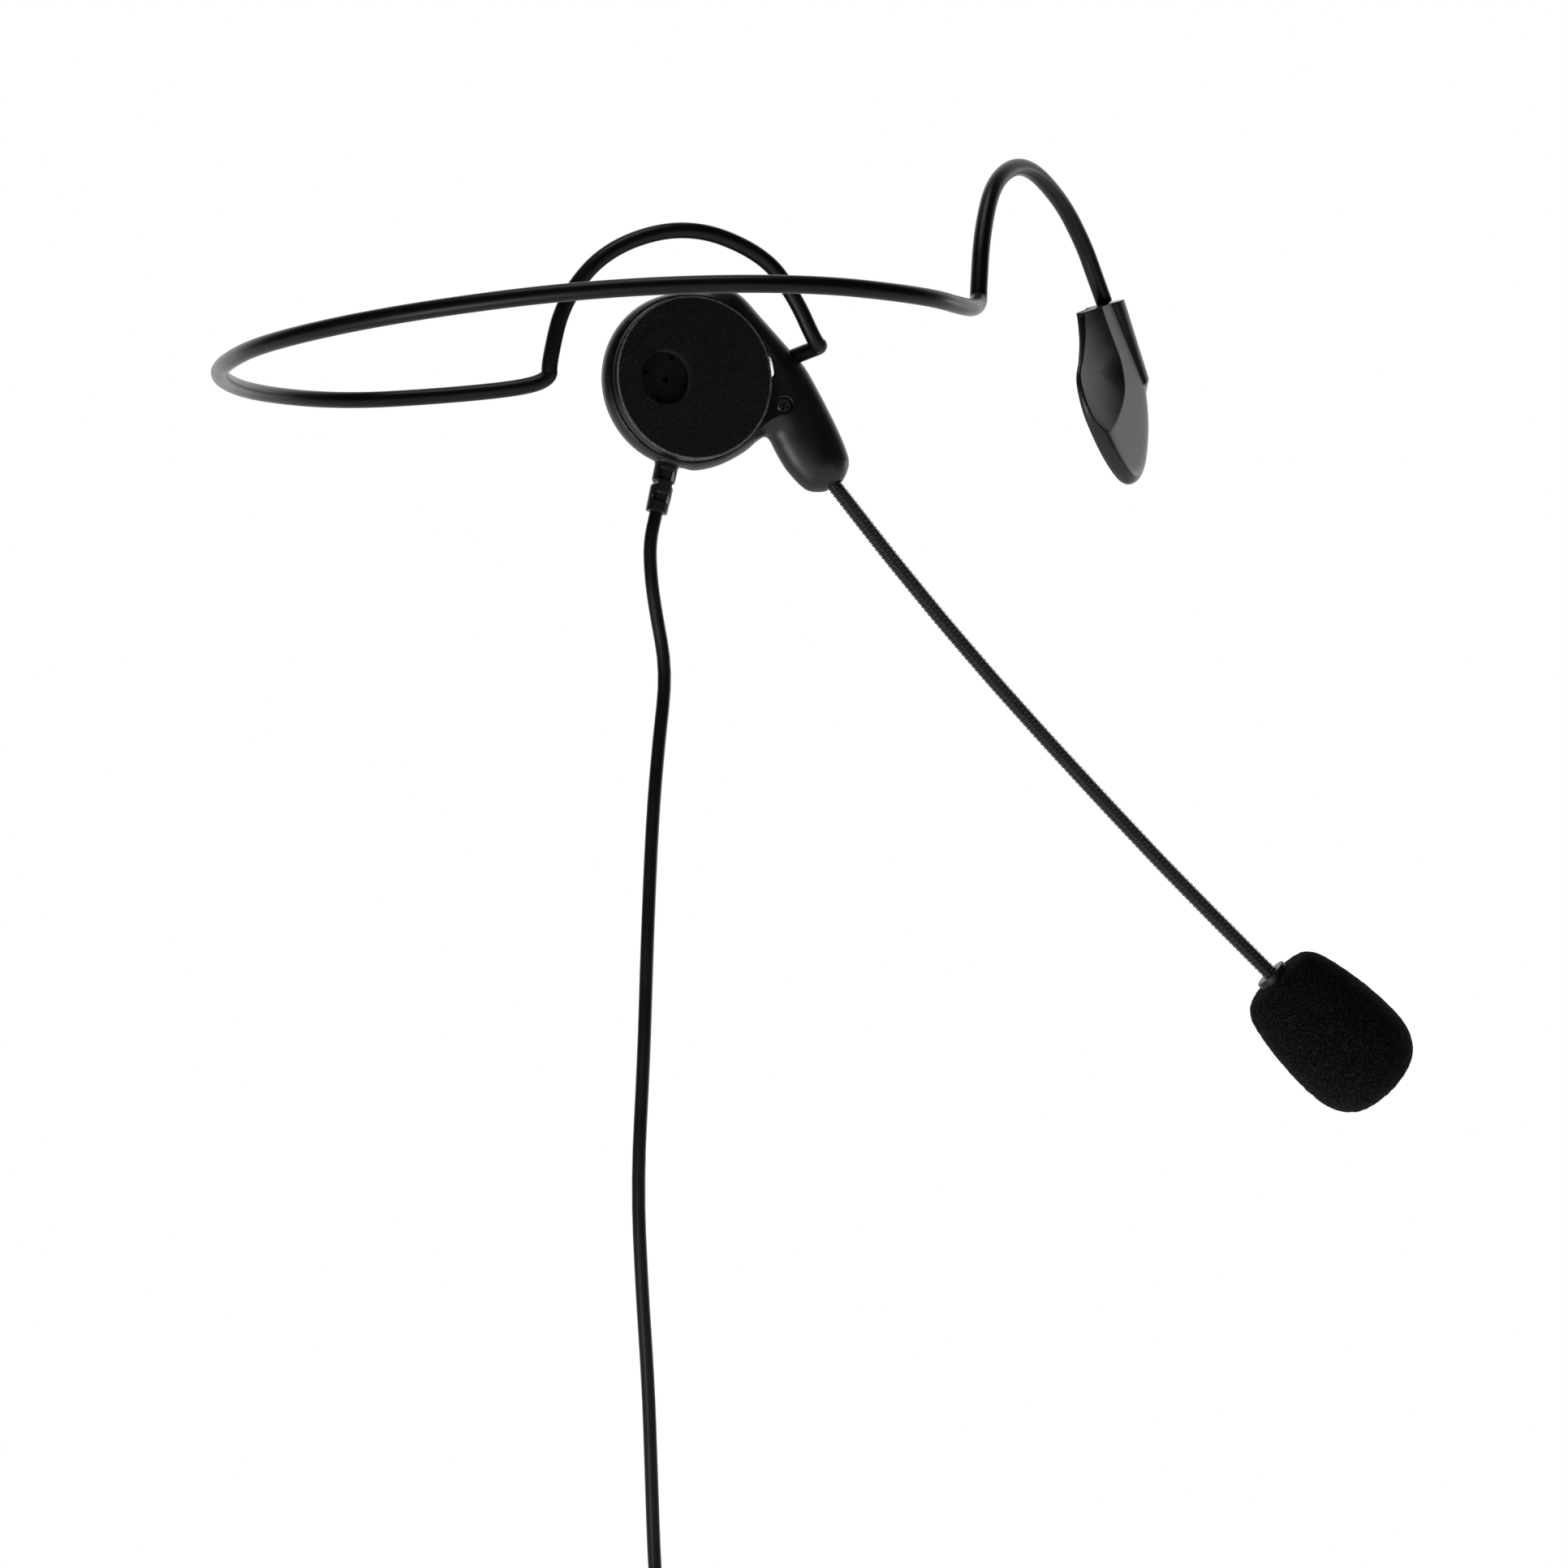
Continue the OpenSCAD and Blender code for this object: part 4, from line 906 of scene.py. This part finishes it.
# the socket: a cone along the pin's axis, with a tip that tapers faster
SOCKET_R = 4.6
SOCKET_LOW_R = 3.7
SOCKET_TIP_R = 1.0
SOCKET_TAPER = 22
SOCKET_LEN = 27
PIN_WELL_R = 2.05
PIN_WELL_DEPTH = 1.2
CUSHION_RIM = 0.25
PAD_CROWN = 2.8        # how far the cushion rises from its rim to its middle
CROWN_REACH = 11       # the distance in from the rim in which it does
CLEAR = 0.03           # the gap between the cushion and the shell
pad_curve = through(PAD_OUTLINE, 5)
scoop_curve = through(SCOOP, 5)


def top_cut(x, z):
    """Height above the flat top of the pad."""
    return (z - PAD_TOP[1]) * math.cos(PAD_TOP_TILT) - (x - PAD_TOP[0]) * math.sin(PAD_TOP_TILT)


def socket_field(x, y, z):
    along, radial = along_axis(PAD_PIN_IN_PAD, x, y, z)
    cone = SOCKET_R - (SOCKET_R - SOCKET_LOW_R) * along / SOCKET_TAPER
    past = (along - SOCKET_TAPER) / (SOCKET_LEN - SOCKET_TAPER)
    tip = SOCKET_LOW_R - (SOCKET_LOW_R - SOCKET_TIP_R) * past
    return np.maximum(0.98 * (radial - np.where(along < SOCKET_TAPER, cone, tip)), along - SOCKET_LEN)


def carrier_field(x, y, z):
    edge = polygon_field(pad_curve, x, z)
    behind = np.maximum(-polygon_field(scoop_curve, x, z), 0)
    crown = SHELL_RISE * (1 - np.exp(np.minimum(edge, 0) / SHELL_EDGE))
    proud = np.minimum(crown, SHELL_RISE - SCOOP_DEPTH * (1 - np.exp(-behind / SCOOP_REACH)))
    face = -CARRIER_T - proud
    plate = smooth_max(smooth_max(edge, (face - y) * 0.93, 0.5), y, 0.35)
    solid = smooth_min(plate, socket_field(x, y, z), 0.35)
    solid = smooth_max(solid, top_cut(x, z), 0.12)
    along, radial = along_axis(PAD_PIN_IN_PAD, x, y, z)
    return np.maximum(solid, np.minimum(PIN_WELL_R - radial, PIN_WELL_DEPTH - along))


def cushion_field(x, y, z):
    edge = polygon_field(pad_curve, x, z)
    rise = np.clip(-edge / CROWN_REACH, 0, 1)
    top = CUSHION_RIM + PAD_CROWN * rise * (2 - rise)
    solid = smooth_max(smooth_max(edge, (y - top) * 0.9, 0.8), CLEAR - y, 0.35)
    solid = np.maximum(solid, top_cut(x, z) + CLEAR)
    return np.maximum(solid, -socket_field(x, y, z) + CLEAR)


for name, field, y_range, step, node, slot in (
        ("temple_shell", carrier_field, (-4.6, 4.6), (0.26, 0.16, 0.26), "pad_carrier", "pad_plastic"),
        ("temple_cushion", cushion_field, (-0.3, 4.9), (0.35, 0.2, 0.35), "pad_cushion", "pad_rubber")):
    points, faces = surface_of(field, (45, y_range[0], -31), (83, y_range[1], 18), step)
    piece = put_mesh(name, points, faces, "temple_pad", PAD, 40)
    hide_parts(node)
    paint(piece, slot)

# ---- plug

PLUG = move(*PLUG_AT)
GRIP_R = 4.6
GROOVE_R = 4.3
grip = [(GRIP_R, -10.5)]
for k in range(6):
    z = -12 - 2.2 * k
    grip += [(GRIP_R, z), (GROOVE_R, z - 0.3), (GROOVE_R, z - 0.8), (GRIP_R, z - 1.1)]
body_profile = [(0.01, -9.02), (4.2, -9.02)] + grip + [(GRIP_R, -29.8), (4.0, -31), (0.01, -31)]
plug_body = lathe("plug_grip", rounded(body_profile[::-1], 0.25, 3), "ear_unit", PLUG, 72)
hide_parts("plug_body")
paint(plug_body, "plug_metal")
boot = [(1.65, -5), (1.65, 0), (2.2, 0)]
for k in range(4):
    z = -0.9 - 2 * k
    boot += [(2.3 + 0.28 * k, z), (2.75 + 0.2 * k, z - 0.2),
             (2.8 + 0.2 * k, z - 1.1), (2.4 + 0.28 * k, z - 1.3)]
boot += [(3.4, -9), (0.01, -9), (0.01, -5)]
plug_boot = lathe("plug_boot", rounded(boot[::-1], 0.15, 3), "ear_unit", PLUG, 64)
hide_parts("plug_relief")
paint(plug_boot, "cable_jacket")

# ---- CAD nodes that stay, each with its slot

KEPT = {
    "spring_steel": ["neckband_wire"],
    "steel_small": ["wire_end_rings"],
    "screw_black": ["housing_screw"],
    "brass_small": ["pivot_bush"],
    "circuit_board": ["terminal_board"],
    "housing_plastic": ["pod_plate", "pod_pins"],
    "magnet": ["driver_magnet", "driver_frame"],
    "driver_film": ["driver_cone"],
    "gooseneck_metal": ["gooseneck_ferrule"],
    "mic_plastic": ["mic_holder"],
    "relief_rubber": ["capsule_boot"],
    "capsule_metal": ["mic_capsule"],
    "tie_strap": ["coil_tie"],
    "plug_gold": ["plug_contacts"],
    "plug_rings": ["plug_insulators"],
}
for slot, names in KEPT.items():
    for name in names:
        paint(frame["nodes"][name], slot)

# ---- floor, light and surroundings

FLOOR_Z = -0.402
FLOOR_HALF = 1.4
floor_corners = [(x * FLOOR_HALF, y * FLOOR_HALF, FLOOR_Z) for x, y in ((-1, -1), (1, -1), (1, 1), (-1, 1))]
floor_mesh = bpy.data.meshes.new("floor")
floor_mesh.from_pydata(floor_corners, [], [(0, 1, 2, 3)])
floor = bpy.data.objects.new("floor", floor_mesh)
bpy.context.scene.collection.objects.link(floor)
floor_paint = material("floor_paint", (0.85, 0.85, 0.85), 0.9, grain=2, bump=0.02, mottle=0.02)
glow = floor_paint.node_tree.nodes["Principled BSDF"]
glow.inputs["Emission Color"].default_value = (1, 1, 1, 1)
glow.inputs["Emission Strength"].default_value = 0.4
floor.data.materials.append(floor_paint)
floor.visible_shadow = False      # the low softbox lights the object through it


def softbox(name, at, size, power):
    """A round lamp that shines at the headset and that the camera doesn't see."""
    data = bpy.data.lights.new(name, "AREA")
    data.shape = "DISK"
    data.size = size
    data.energy = power
    lamp = bpy.data.objects.new(name, data)
    lamp.location = at
    lamp.rotation_euler = (Vector((0, 0, -0.05)) - Vector(at)).to_track_quat("-Z", "Y").to_euler()
    lamp.visible_camera = False
    bpy.context.scene.collection.objects.link(lamp)


softbox("left", (-0.85, -0.2, -0.62), 0.35, 3.4)
softbox("top", (-0.3, -0.1, 1.3), 0.8, 4)
softbox("right", (1.3, -0.2, 0.0), 0.35, 0.8)

# the surroundings are white to the camera, and light the object from the far side, as a lit backdrop does
LIT_BAND = (0.38, 0.78)    # cosines from the view's direction between which the light grows
LIT_STRENGTH = (0.02, 1.25)
world = bpy.data.worlds.new("studio")
bpy.context.scene.world = world
world.use_nodes = True
nodes, links = world.node_tree.nodes, world.node_tree.links
nodes.clear()
output = nodes.new("ShaderNodeOutputWorld")
seen = nodes.new("ShaderNodeBackground")
seen.inputs["Color"].default_value = (1, 1, 1, 1)
seen.inputs["Strength"].default_value = 1.0
lit = nodes.new("ShaderNodeBackground")
lit.inputs["Color"].default_value = (0.97, 0.98, 1, 1)
direction = nodes.new("ShaderNodeTexCoord")
facing = nodes.new("ShaderNodeVectorMath")
facing.operation = "DOT_PRODUCT"
facing.inputs[1].default_value = view_dir
links.new(direction.outputs["Generated"], facing.inputs[0])
spread = nodes.new("ShaderNodeMapRange")
for key, value in zip(("From Min", "From Max", "To Min", "To Max"), LIT_BAND + LIT_STRENGTH):
    spread.inputs[key].default_value = value
links.new(facing.outputs["Value"], spread.inputs["Value"])
links.new(spread.outputs["Result"], lit.inputs["Strength"])
path_kind = nodes.new("ShaderNodeLightPath")
choice = nodes.new("ShaderNodeMixShader")
links.new(path_kind.outputs["Is Camera Ray"], choice.inputs["Fac"])
links.new(lit.outputs["Background"], choice.inputs[1])
links.new(seen.outputs["Background"], choice.inputs[2])
links.new(choice.outputs["Shader"], output.inputs["Surface"])
bpy.context.scene.view_settings.view_transform = "Standard"
